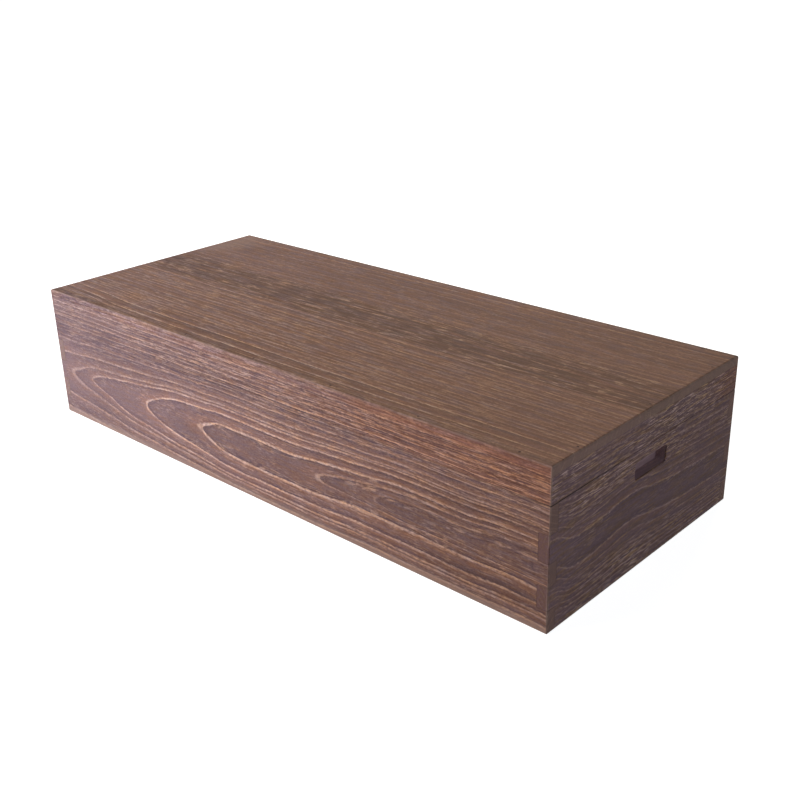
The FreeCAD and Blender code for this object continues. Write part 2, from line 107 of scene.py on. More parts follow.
class Graph:
    """A node tree in the making, with one short call for each kind of node that is used."""

    def __init__(self, tree: Tree) -> None:
        """Hold the tree that the calls add to."""
        self.tree = tree

    def node(self, kind: str, **settings: object) -> bpy.types.Node:
        """Add a node.

        Args:
            kind: The node's type.
            settings: Values of the node's own properties.

        Returns:
            The new node.
        """
        node = self.tree.nodes.new(kind)
        for name, value in settings.items():
            setattr(node, name, value)
        return node

    def feed(self, socket: Socket, value: Feed) -> None:
        """Link a socket to an input, or write a plain value into it.

        Args:
            socket: The input.
            value: The socket or the plain value.
        """
        if isinstance(value, Socket):
            self.tree.links.new(value, socket)
        else:
            socket.default_value = value

    def fill(self, node: bpy.types.Node, **values: Feed) -> bpy.types.Node:
        """Feed a node's inputs by name.

        Args:
            node: The node.
            values: Its inputs by name, with an underscore for each space.

        Returns:
            The same node.
        """
        for name, value in values.items():
            self.feed(node.inputs[name.replace("_", " ")], value)
        return node

    def math(self, operation: str, *values: Feed, clamp: bool = False) -> Socket:
        """Add a Math node.

        Args:
            operation: The node's operation.
            values: Its one to three inputs.
            clamp: Whether the result is held between 0 and 1.

        Returns:
            The result.
        """
        node = self.node("ShaderNodeMath", operation=operation, use_clamp=clamp)
        for socket, value in zip(node.inputs, values):
            self.feed(socket, value)
        return node.outputs[0]

    def plus(self, first: Feed, second: Feed) -> Socket:
        """Return the sum of two numbers."""
        return self.math("ADD", first, second)

    def minus(self, first: Feed, second: Feed) -> Socket:
        """Return the first number less the second."""
        return self.math("SUBTRACT", first, second)

    def times(self, first: Feed, second: Feed) -> Socket:
        """Return the product of two numbers."""
        return self.math("MULTIPLY", first, second)

    def over(self, first: Feed, second: Feed) -> Socket:
        """Return the first number divided by the second."""
        return self.math("DIVIDE", first, second)

    def least(self, first: Feed, second: Feed) -> Socket:
        """Return the smaller of two numbers."""
        return self.math("MINIMUM", first, second)

    def most(self, first: Feed, second: Feed) -> Socket:
        """Return the larger of two numbers."""
        return self.math("MAXIMUM", first, second)

    def unsigned(self, value: Feed) -> Socket:
        """Return a number without its sign."""
        return self.math("ABSOLUTE", value)

    def apart(self, first: Feed, second: Feed) -> Socket:
        """Return how far two numbers lie apart."""
        return self.unsigned(self.minus(first, second))

    def scaled(self, value: Feed, factor: Feed, offset: Feed) -> Socket:
        """Return a number times a factor, plus an offset."""
        return self.math("MULTIPLY_ADD", value, factor, offset)

    def slant(self, first: Feed, second: Feed) -> Socket:
        """Return the length of the slant over two square sides."""
        return self.math("SQRT", self.scaled(first, first, self.times(second, second)))

    def fade(self, value: Feed, start: Feed, end: Feed, low: Feed = 0.0,
             high: Feed = 1.0) -> Socket:
        """Move smoothly from low to high while a value goes from start to end.

        Args:
            value: The value that is followed.
            start: Where the result leaves low.
            end: Where the result reaches high.
            low: The result before start.
            high: The result after end.

        Returns:
            The faded value.
        """
        node = self.node("ShaderNodeMapRange", interpolation_type="SMOOTHSTEP")
        self.fill(node, Value=value, From_Min=start, From_Max=end, To_Min=low, To_Max=high)
        return node.outputs[0]

    def blend(self, amount: Feed, first: Feed, second: Feed, way: str = "MIX") -> Socket:
        """Blend two colours.

        Args:
            amount: How much of the second colour is used.
            first: The first colour.
            second: The second colour.
            way: The blend type.

        Returns:
            The blended colour.
        """
        node = self.node("ShaderNodeMix", data_type="RGBA", blend_type=way)
        for number, value in ((0, amount), (6, first), (7, second)):
            self.feed(node.inputs[number], value)
        return node.outputs[2]

    def dim(self, colour: Feed, light: Socket) -> Socket:
        """Return a colour with its lightness multiplied."""
        return self.blend(1.0, colour, self.vector(light, light, light), "MULTIPLY")

    def between(self, amount: Feed, first: Feed, second: Feed) -> Socket:
        """Mix two plain numbers.

        Args:
            amount: How much of the second number is used.
            first: The first number.
            second: The second number.

        Returns:
            The mixed number.
        """
        node = self.node("ShaderNodeMix", data_type="FLOAT")
        for number, value in ((0, amount), (2, first), (3, second)):
            self.feed(node.inputs[number], value)
        return node.outputs[0]

    def vector(self, x: Feed, y: Feed, z: Feed) -> Socket:
        """Join three numbers and return the vector."""
        return self.fill(self.node("ShaderNodeCombineXYZ"), X=x, Y=y, Z=z).outputs[0]

    def parts(self, vector: Socket) -> tuple[Socket, Socket, Socket]:
        """Return the three numbers of a vector."""
        node = self.fill(self.node("ShaderNodeSeparateXYZ"), Vector=vector)
        return node.outputs[0], node.outputs[1], node.outputs[2]

    def noise(self, spot: Patch, patch: Patch, seed: Feed, detail: float = 2.0,
              rough: float = 0.5) -> Socket:
        """Add a noise that is drawn out along the fibres.

        Args:
            spot: The place along, across and through the board, or a plain number for each.
            patch: The length, width and depth of one patch of the noise.
            seed: A number that moves the noise to a fresh place.
            detail: Octaves of finer noise.
            rough: Strength of the finer octaves.

        Returns:
            The noise, 0 to 1, mostly near a half.
        """
        along, across, through = (
            place if size == 1.0 or not isinstance(place, Socket) else self.over(place, size)
            for place, size in zip(spot, patch))
        node = self.node("ShaderNodeTexNoise")
        self.fill(node, Vector=self.vector(self.plus(along, seed), across, through), Scale=1.0,
                  Detail=detail, Roughness=rough)
        return node.outputs[0]

    def profile(self, value: Feed, points: Profile, smooth: bool = True) -> Feed:
        """Look a value up on a curve through given points.

        Args:
            value: The value that is looked up.
            points: The curve's points, in rising order.
            smooth: Whether the curve is rounded between its points.

        Returns:
            The curve's height at the value, a plain number where it is the same all along.
        """
        left, right = points[0][0], points[-1][0]
        low = min(height for _, height in points)
        high = max(height for _, height in points)
        if high == low:
            return float(low)
        share = self.math("DIVIDE", self.minus(value, left), right - left, clamp=True)
        node = self.fill(self.node("ShaderNodeFloatCurve"), Value=share)
        curve = node.mapping.curves[0]
        places = [((x - left) / (right - left), (y - low) / (high - low)) for x, y in points]
        curve.points[0].location, curve.points[1].location = places[0], places[-1]
        for place in places[1:-1]:
            curve.points.new(*place)
        for point in curve.points:
            point.handle_type = "AUTO_CLAMPED" if smooth else "VECTOR"
        node.mapping.update()
        return self.scaled(node.outputs[0], high - low, low)

    def place(self, tree: Tree, **values: Feed) -> Mapping[str, Socket]:
        """Put a shared group into this tree.

        Args:
            tree: The group.
            values: Its inputs by name, with an underscore for each space.

        Returns:
            The group's outputs by name.
        """
        node = self.fill(self.node("ShaderNodeGroup", node_tree=tree), **values)
        return {socket.name: socket for socket in node.outputs}

    def end(self, kind: str, shader: bpy.types.Node) -> None:
        """Link a shader to a new output of a material or of the world."""
        self.fill(self.node(kind), Surface=shader.outputs[0])


def clean_graph(owner: Union[bpy.types.Material, bpy.types.World]) -> Graph:
    """Give a material or a world an empty node tree.

    Args:
        owner: The material or the world.

    Returns:
        Its tree as a graph.
    """
    owner.use_nodes = True
    owner.node_tree.nodes.clear()
    return Graph(owner.node_tree)


class SharedGroup:
    """A shader node group that is built once and placed in many materials."""

    COLOURS = ("Ground", "Shade", "Line", "Amber", "Vein", "Cool", "Warm", "Colour")

    def __init__(self, name: str, inputs: str, outputs: str) -> None:
        """Make the group's tree and its named sockets.

        Args:
            name: The group's name.
            inputs: The names of its inputs, with commas between them.
            outputs: The names of its outputs, with commas between them.
        """
        self.tree = bpy.data.node_groups.new(name, "ShaderNodeTree")
        for side, titles in (("INPUT", inputs), ("OUTPUT", outputs)):
            for title in titles.split(", "):
                kind = ("Vector" if title == "Position" else
                        "Color" if title in self.COLOURS else "Float")
                self.tree.interface.new_socket(name=title, in_out=side,
                                               socket_type=f"NodeSocket{kind}")
        self.graph = Graph(self.tree)
        sockets = self.graph.node("NodeGroupInput").outputs
        self.taken = {title: sockets[title] for title in inputs.split(", ")}
        self.given = self.graph.node("NodeGroupOutput")

    def give(self, **results: Feed) -> Tree:
        """Link the group's outputs by name and return its tree."""
        self.graph.fill(self.given, **results)
        return self.tree


def shell_group() -> Tree:
    """Build the group that knows how far a point lies under the box's outer faces.

    Returns:
        The group. It gives the depth under the nearest outer face, the underside left out, the
        distance to the nearest outer edge, and the point's own place in millimetres.
    """
    group = SharedGroup("box shell", "Position, Half length, Half depth, Height",
                        "Depth, Edge, X, Y, Z")
    graph = group.graph
    position, half_length, half_depth, height = group.taken.values()
    x, y, z = (graph.over(part, MM) for part in graph.parts(position))
    end = graph.minus(half_length, graph.unsigned(x))
    side = graph.minus(half_depth, graph.unsigned(y))
    top = graph.minus(height, z)
    depth = graph.least(graph.least(end, side), top)
    second = graph.least(graph.most(end, side), graph.least(top, z))
    return group.give(Depth=depth, Edge=graph.most(graph.least(end, side), second),
                      X=x, Y=y, Z=z)


def rings_group() -> Tree:
    """Build the group that gives a point's distance from the pith of its log.

    The pith runs along the board in front of its face. Where it comes nearer to the face, the
    rings open into nested arches. Far from the heart line they run straighter.

    Returns:
        The group, with the radius in millimetres, and with how steeply it changes over the face,
        0 on the heart line to 1 where the rings stand upright.
    """
    group = SharedGroup("growth rings", "Along, Across, Through, Bend, Rise, Pith depth, Reach, "
                        "Lower stretch, Wander, Tip, Seed", "Radius, Slope")
    graph = group.graph
    (along, across, through, bend, rise, pith, reach, stretch, wander, tip,
     seed) = group.taken.values()
    straightening = 5.0
    far = graph.math("POWER", graph.over(graph.unsigned(across), reach), straightening)
    near = graph.over(1.0, graph.plus(far, 1.0))
    bent = graph.minus(across, graph.times(bend, near))
    for length, width, share, move in ((150.0, 40.0, 2.0, 0.0), (34.0, 9.0, 0.62, 7.3)):
        wave = graph.noise((along, across, through), (length, width, width),
                           graph.plus(seed, move), 1.0)
        sway = graph.times(graph.minus(wave, 0.5), graph.times(wander, share))
        bent = graph.plus(bent, sway)
    below = graph.fade(bent, 0.5, -0.5)
    height = graph.over(bent, graph.between(below, 1.0, stretch))
    square = graph.minus(graph.times(pith, pith), graph.times(rise, near))
    deep = graph.plus(graph.math("SQRT", graph.most(square, 1.0)), through)
    radius = graph.slant(height, deep)
    return group.give(Radius=radius, Slope=graph.math("DIVIDE", graph.slant(height, tip),
                                                      radius, clamp=True))


def lines_group() -> Tree:
    """Build the group that draws the raised line of latewood at each growth ring.

    Returns:
        The group, with the line's mask, the dark hollow inside it, the warm glow outside it,
        the ring's own tone, and fine threads along the rings, light above a half and dark below.
    """
    group = SharedGroup("ring lines", "Index, Ring width, Line width, Along, Radius, Slope, "
                        "Through, Breaks, Break length, Thread length, Thread width, Seed",
                        "Ridge, Hollow, Glow, Tone, Thread")
    graph = group.graph
    (index, ring_width, line_width, along, radius, slope, through, breaks, break_length,
     thread_length, thread_width, seed) = group.taken.values()
    spot = (along, radius, through)
    ragged, gaps, grains = (6.0, 1.6, 4.0), (break_length, 2.2, 6.0), (6.0, 2.0, 3.0)
    ragged_reach, thread_depth, thread_share, thread_ground = 2.4, 6.0, 0.55, 0.22

    rough = graph.noise(spot, ragged, graph.plus(seed, 31.0), 2.0, 0.6)
    rough = graph.times(graph.minus(rough, 0.5), graph.times(slope, ragged_reach))
    inner = graph.math("FRACT", graph.plus(index, graph.over(rough, ring_width)))
    after = graph.times(inner, ring_width)
    before = graph.times(graph.minus(1.0, inner), ring_width)
    wide = graph.times(line_width, slope)
    soft = graph.fade(after, wide, graph.times(wide, 0.35))
    sharp = graph.fade(before, graph.times(wide, 0.25), 0.0)
    hollow = graph.fade(before, graph.scaled(slope, 3.0, wide), graph.times(wide, 0.5))
    glow = graph.fade(after, graph.times(wide, 4.5), graph.times(wide, 0.6))

    broken = graph.noise(spot, gaps, seed, 4.0, 0.7)
    kept = graph.minus(1.0, graph.times(graph.fade(broken, 0.6, 0.36), breaks))
    grain = graph.noise(spot, grains, graph.plus(seed, 47.0), 1.0)
    kept = graph.times(kept, graph.fade(grain, 0.32, 0.58, 0.35, 1.0))
    chance = graph.node("ShaderNodeTexWhiteNoise", noise_dimensions="1D")
    graph.fill(chance, W=graph.plus(graph.math("ROUND", index), seed))

    def streak(length: float, width: float, move: float, detail: float) -> Socket:
        """Lay a noise that runs with the rings.

        Args:
            length: How many times longer than a thread its patches are.
            width: How many times wider.
            move: A number that moves it to a fresh place.
            detail: Octaves of finer noise.

        Returns:
            The noise.
        """
        patch = (graph.times(thread_length, length), graph.times(thread_width, width),
                 thread_depth)
        return graph.noise(spot, patch, graph.plus(seed, move), detail, 0.68)

    thread = graph.times(graph.fade(streak(1.0, 1.0, 17.0, 4.0), 0.34, 0.66), thread_share)
    # Thin crisp dashes, light and dark, where a slow noise crosses its middle
    for move, strength in ((23.0, 0.45), (41.0, -0.4)):
        crossing = graph.fade(graph.apart(streak(1.4, 2.6, move, 1.0), 0.5), 0.07, 0.015)
        dash = graph.fade(streak(0.25, 2.0, move + 5.0, 1.0), 0.42, 0.54)
        thread = graph.scaled(graph.times(crossing, dash), strength, thread)
    thread = graph.math("ADD", thread, thread_ground, clamp=True)
    return group.give(Ridge=graph.times(graph.most(sharp, soft), kept), Hollow=hollow, Glow=glow,
                      Tone=chance.outputs["Value"],
                      Thread=graph.between(graph.fade(slope, 0.12, 0.45), 0.5, thread))


def fibre_group() -> Tree:
    """Build the group of what lies between the rings: flecks, pores, clouds and speckles.

    Returns:
        The group, with each of them as a mask, 0 to 1, and with streaks of purple and amber.
    """
    group = SharedGroup("wood fibre", "Along, Across, Through, Length, Thickness, Seed",
                        "Fleck, Pore, Cloud, Speckle, Hue")
    graph = group.graph
    along, across, through, fleck_length, thickness, seed = group.taken.values()
    spot = (along, across, through)
    clouds, speckles, patches = (190.0, 42.0, 42.0), (3.4, 2.2, 2.2), (85.0, 38.0, 1.0)
    in_flecks = (graph.over(along, fleck_length), graph.over(across, thickness),
                 graph.over(through, thickness))

    def streaks(length: float, width: float, move: float, rough: float) -> Socket:
        """Lay a noise of streaks.

        Args:
            length: How many times shorter than flecks they are.
            width: How many times finer.
            move: A number that moves the noise to a fresh place.
            rough: Strength of the finer octaves.

        Returns:
            The noise.
        """
        place = tuple(graph.times(part, factor)
                      for part, factor in zip(in_flecks, (length, width, width)))
        return graph.noise(place, (1.0, 1.0, 1.0), graph.plus(seed, move), 2.0, rough)

    cloud = graph.noise(spot, clouds, graph.plus(seed, 83.0), 2.0, 0.55)
    speckle = graph.noise(spot, speckles, graph.plus(seed, 59.0), 2.0, 0.7)
    patch = graph.noise((along, across, 0.0), patches, graph.plus(seed, 37.0), 1.0)
    fleck = graph.times(graph.fade(streaks(1.0, 1.0, 0.0, 0.6), 0.52, 0.66),
                        graph.fade(patch, 0.4, 0.62, 0.2, 1.3))
    return group.give(Fleck=fleck, Pore=graph.fade(streaks(1.2, 1.2, 41.0, 0.6), 0.52, 0.7),
                      Cloud=graph.fade(cloud, 0.3, 0.7), Speckle=speckle,
                      Hue=graph.fade(streaks(0.4, 0.4, 71.0, 0.7), 0.32, 0.68))


def tone_group() -> Tree:
    """Build the group that turns the wood's masks into its colour, height and roughness.

    Returns:
        The group.
    """
    group = SharedGroup("wood tone", "Ridge, Hollow, Glow, Tone, Thread, Fleck, Pore, Cloud, "
                        "Speckle, Stain, Drift, Ground, Shade, Line, Amber, Vein, Cool, Warm, "
                        "Dull, Silk", "Colour, Height, Roughness")
    graph, taken = group.graph, group.taken
    stain_share, speckle_strength, speckle_ground = 0.85, 1.1, 0.45
    line_height, fleck_height, thread_height, pore_depth = 0.6, 0.2, 0.4, 0.35
    colour: Socket = taken["Ground"]
    drawn = graph.times(taken["Ridge"], graph.fade(taken["Tone"], 0.0, 1.0, 0.75, 1.0))
    for mask, share, over in (
            (taken["Cloud"], 0.8, "Shade"), (taken["Glow"], 0.5, "Amber"),
            (taken["Hollow"], 0.55, "Vein"),
            (graph.fade(taken["Thread"], 0.5, 0.9), 0.55, "Line"),
            (graph.fade(taken["Thread"], 0.5, 0.1), 0.8, "Vein"),
            (taken["Pore"], 0.7, "Vein"), (taken["Fleck"], 0.7, "Line")):
        colour = graph.blend(graph.times(mask, share), colour, taken[over])
    colour = graph.blend(drawn, colour, taken["Line"])
    colour = graph.blend(graph.times(taken["Stain"], stain_share), colour, taken["Vein"])
    colour = graph.dim(colour, graph.scaled(taken["Speckle"], speckle_strength, speckle_ground))
    tint = graph.blend(taken["Drift"], taken["Cool"], taken["Warm"])
    height = graph.scaled(drawn, line_height, graph.times(taken["Fleck"], fleck_height))
    height = graph.scaled(taken["Thread"], thread_height, height)
    return group.give(Colour=graph.blend(1.0, colour, tint, "MULTIPLY"),
                      Height=graph.minus(height, graph.times(taken["Pore"], pore_depth)),
                      Roughness=graph.between(drawn, taken["Dull"], taken["Silk"]))


def joint_group(levels: Sequence[float]) -> Tree:
    """Build the group that draws the fine dark lines of the comb joints and of the lid's seam.

    Args:
        levels: Heights of the comb's shoulders, from the foot to the rim.

    Returns:
        The group, with the masks of the joints and of the seam, 0 to 1.
    """
    group = SharedGroup("joint lines", "X, Y, Z, Half length, Half depth, Wall", "Joint, Seam")
    graph = group.graph
    x, y, z, half_length, half_depth, wall = group.taken.values()
    fine_line, seam_line, no_joint = (0.8, 0.2), (1.2, 0.4), 99.0
    end = graph.minus(half_length, graph.unsigned(x))
    side = graph.minus(half_depth, graph.unsigned(y))
    inward = graph.most(end, side)
    band = graph.times(graph.math("LESS_THAN", end, side), -1.0)
    nearest: Feed = no_joint
    for level in levels[1:-1]:
        nearest = graph.least(nearest, graph.apart(z, level))
        band = graph.plus(band, graph.math("GREATER_THAN", z, level))
    shown = graph.math("PINGPONG", graph.unsigned(band), 1.0)
    upright = graph.times(graph.fade(graph.apart(inward, wall), *fine_line), shown)
    flat = graph.times(graph.fade(nearest, *fine_line), graph.math("LESS_THAN", inward, wall))
    return group.give(Joint=graph.times(graph.most(upright, flat),
                                        graph.math("LESS_THAN", z, levels[-1])),
                      Seam=graph.fade(graph.apart(z, levels[-1]), *seam_line))


@dataclass(frozen=True)
class WoodTone:
    """The colours and the gloss of one finish of the wood."""

    ground: Colour
    shade: Colour
    line: Colour
    amber: Colour
    vein: Colour
    cool: Colour
    warm: Colour
    dull: float
    silk: float

    def lay(self, graph: Graph, tree: Tree, masks: Mapping[str, Feed]) -> Mapping[str, Socket]:
        """Place the tone group with these colours and return its outputs."""
        own = {name.capitalize(): value for name, value in vars(self).items()}
        return graph.place(tree, **own, **masks)


WHITE = (1.0, 1.0, 1.0, 1.0)
CHARRED = WoodTone(ground=paint(115, 88, 83), shade=paint(104, 79, 73),
                   line=paint(206, 166, 141), amber=paint(146, 102, 81), vein=paint(74, 54, 57),
                   cool=(0.94, 1.04, 1.24, 1.0), warm=(1.07, 0.97, 0.82, 1.0),
                   dull=0.72, silk=0.6)
LID_TOP = replace(CHARRED, ground=paint(119, 91, 83), line=paint(203, 171, 148),
                  vein=paint(80, 59, 50), warm=(1.08, 0.98, 0.79, 1.0))
MOTTLED = replace(CHARRED, cool=(0.95, 1.015, 1.28, 1.0), warm=(1.03, 1.03, 0.8, 1.0))
BARE = WoodTone(ground=paint(212, 188, 156), shade=paint(203, 177, 143),
                line=paint(172, 137, 101), amber=paint(205, 178, 143), vein=paint(186, 156, 121),
                cool=WHITE, warm=WHITE, dull=0.6, silk=0.55)
PEG = WoodTone(ground=paint(176, 142, 101), shade=paint(163, 128, 88),
               line=paint(136, 101, 66), amber=paint(168, 134, 94), vein=paint(146, 112, 76),
               cool=WHITE, warm=WHITE, dull=0.5, silk=0.45)
PEG_HEAD = replace(CHARRED, ground=paint(66, 46, 40), shade=paint(54, 37, 33),
                   line=paint(96, 70, 60), amber=paint(72, 51, 44), vein=paint(42, 29, 26))
SOOT = paint(38, 27, 25)
RUSSET = (1.22, 0.86, 0.6, 1.0)
# The pale of worn wood, also laid as a painted highlight along the lid's front arris.
WORN_AND_HIGHLIGHT = paint(161, 135, 121)
# Painted light: a pale plum that lightens the shaded walls of the hand holes and the lip behind
# them.
PAINTED_HOLE_LIGHT = paint(158, 128, 133)


@dataclass(frozen=True)
class ListedRings:
    """Growth rings given one by one, each with its radius and how strongly its line shows."""

    rings: Profile
    line_width: float = 3.0

    def count(self, graph: Graph, radius: Socket, seed: float) -> tuple[Feed, Feed, Feed]:
        """Number the rings at a radius.

        Args:
            graph: The material's graph.
            radius: The distance from the pith.
            seed: The board's seed.

        Returns:
            The running number, the ring's width and the strength of its line.
        """
        radii = (0.0,) + tuple(place for place, _ in self.rings) + (self.rings[-1][0] + 40.0,)
        steps = tuple((place, float(number)) for number, place in enumerate(radii))
        middles = tuple(((low + high) / 2, high - low) for low, high in zip(radii, radii[1:]))
        return (graph.profile(radius, steps, smooth=False),
                graph.profile(radius, middles, smooth=False),
                graph.profile(radius, self.rings, smooth=False))


@dataclass(frozen=True)
class EvenRings:
    """Growth rings a steady step apart, some wider and some narrower."""

    step: float
    uneven: float = 0.6
    strength: float = 0.5
    line_width: float = 1.8

    def count(self, graph: Graph, radius: Socket, seed: float) -> tuple[Feed, Feed, Feed]:
        """Number the rings at a radius.

        Args:
            graph: The material's graph.
            radius: The distance from the pith.
            seed: The board's seed.

        Returns:
            The running number, the ring's width and the strength of its line.
        """
        rate = graph.over(radius, self.step)
        shift = graph.noise((0.0, rate, 0.0), (1.0, 2.7, 1.0), seed, 2.0, 0.6)
        shift = graph.times(graph.minus(shift, 0.5), 4.0 * self.uneven)
        return graph.plus(rate, shift), self.step, self.strength


@dataclass(frozen=True)
class Cut:
    """How a board was sawn out of its log, and how its fibres look.

    The heart is the line along the board where the rings' arches open, the bend is how far it
    strays, and the rise is the square that the pith's depth loses along the board. A profile
    runs along the board, but line_share, lift, thread and fleck_share run over the radius, and
    stain, pale and russet_across run across the board from its heart. The end is how far out
    the end grain begins, or a long way off where the ends are hidden.
    """

    along: Axis
    across: Axis
    through: Axis
    face: float
    heart: float
    rings: Union[ListedRings, EvenRings]
    end: float = 9999.0
    bend: Profile = steady(0.0)
    rise: Profile = steady(0.0)
    rise_below: Profile = ()
    pith_depth: float = 60.0
    reach: float = 85.0
    lower_stretch: float = 1.0
    wander: Profile = steady(1.6)
    tip: float = 7.0
    breaks: float = 0.4
    break_length: float = 45.0
    line_share: Profile = steady(1.0)
    lift: Profile = steady(0.0)
    lift_along: Profile = steady(1.0)
    contrast: Profile = steady(1.0)
    edge_grain: float = 1.0
    edge_contrast: float = 1.0
    edge_lift: Profile = steady(0.0)
    edge_tint: Colour = WHITE
    thread: Profile = steady(0.6)
    thread_length: float = 60.0
    thread_width: float = 0.9
    fleck: float = 0.5
    pore: float = 0.6
    fleck_share: Profile = steady(1.0)
    fleck_length: float = 9.0
    fleck_width: float = 0.9
    stain: Profile = steady(0.0)
    stain_along: Profile = steady(1.0)
    pale: Profile = steady(0.0)
    hue: float = 0.85
    drift: Profile = steady(0.5)
    russet: Profile = steady(0.0)
    russet_across: Profile = steady(1.0)
    end_share: Profile = steady(0.6)
    outside: WoodTone = CHARRED
    inside: WoodTone = BARE
    end_tone: Colour = paint(112, 87, 80)
    seam: Profile = steady(0.5)
    rubbed: float = 0.0
    scorch: Scorch = Scorch.OUTSIDE
    seed: float = 0.0


@dataclass(frozen=True)
class BoxSizes:
    """The box's outer sizes, its comb joints and its hand holes."""

    half_length: float = 455.0
    half_depth: float = 194.0
    height: float = 197.5
    wall: float = 14.0
    comb: tuple[float, ...] = (0.0, 28.5, 57.0, 85.5, 119.3, 153.1)
    hole_width: float = 67.0
    hole_height: float = 22.0
    hole_level: float = 127.5


@dataclass(frozen=True)
class WearAndPaintedLight:
    """How deep the char goes, how strongly use has marked the boards, and how much light is
    painted into the hand holes.

    A pair gives where a mask begins to rise and where it is full.
    """

    edge: tuple[float, float] = (0.3, 1.0)
    char_depth: float = 0.6
    char_creep: float = 2.4
    char_fade: float = 1.4
    creep_patch: float = 7.0
    hole_mouth: tuple[float, float] = (1.6, 0.6)
    lip_char: tuple[float, float] = (1.4, 0.4)
    stain_patch: Patch = (60.0, 5.0, 1.0)
    below_heart: tuple[float, float] = (4.0, -18.0)
    # Painted light in the hand hole: the depth under the face where it begins and where it is
    # full, and its share.
    plum_depth: tuple[float, float] = (1.0, 3.0)
    plum_share: float = 0.62
    end_grain: tuple[float, float] = (1.6, 0.8)
    arris: tuple[float, float] = (2.6, 0.4)
    arris_patch: float = 30.0
    arris_share: float = 0.45
    rubbed_reach: tuple[float, float] = (90.0, 15.0)
    rubbed_setback: float = 50.0
    rubbed_share: float = 0.35
    joint_share: float = 0.35
    relief: float = 0.8
    relief_height: float = 0.35
    gloss: float = 0.12


@dataclass(frozen=True)
class Spot:
    """A point's place on its board, measured from the heart line and under the face."""

    along: Socket
    across: Socket
    through: Socket
    shell: Mapping[str, Socket]

    def on_box(self) -> Patch:
        """Return the point's place on the box."""
        return self.shell["X"], self.shell["Y"], self.shell["Z"]


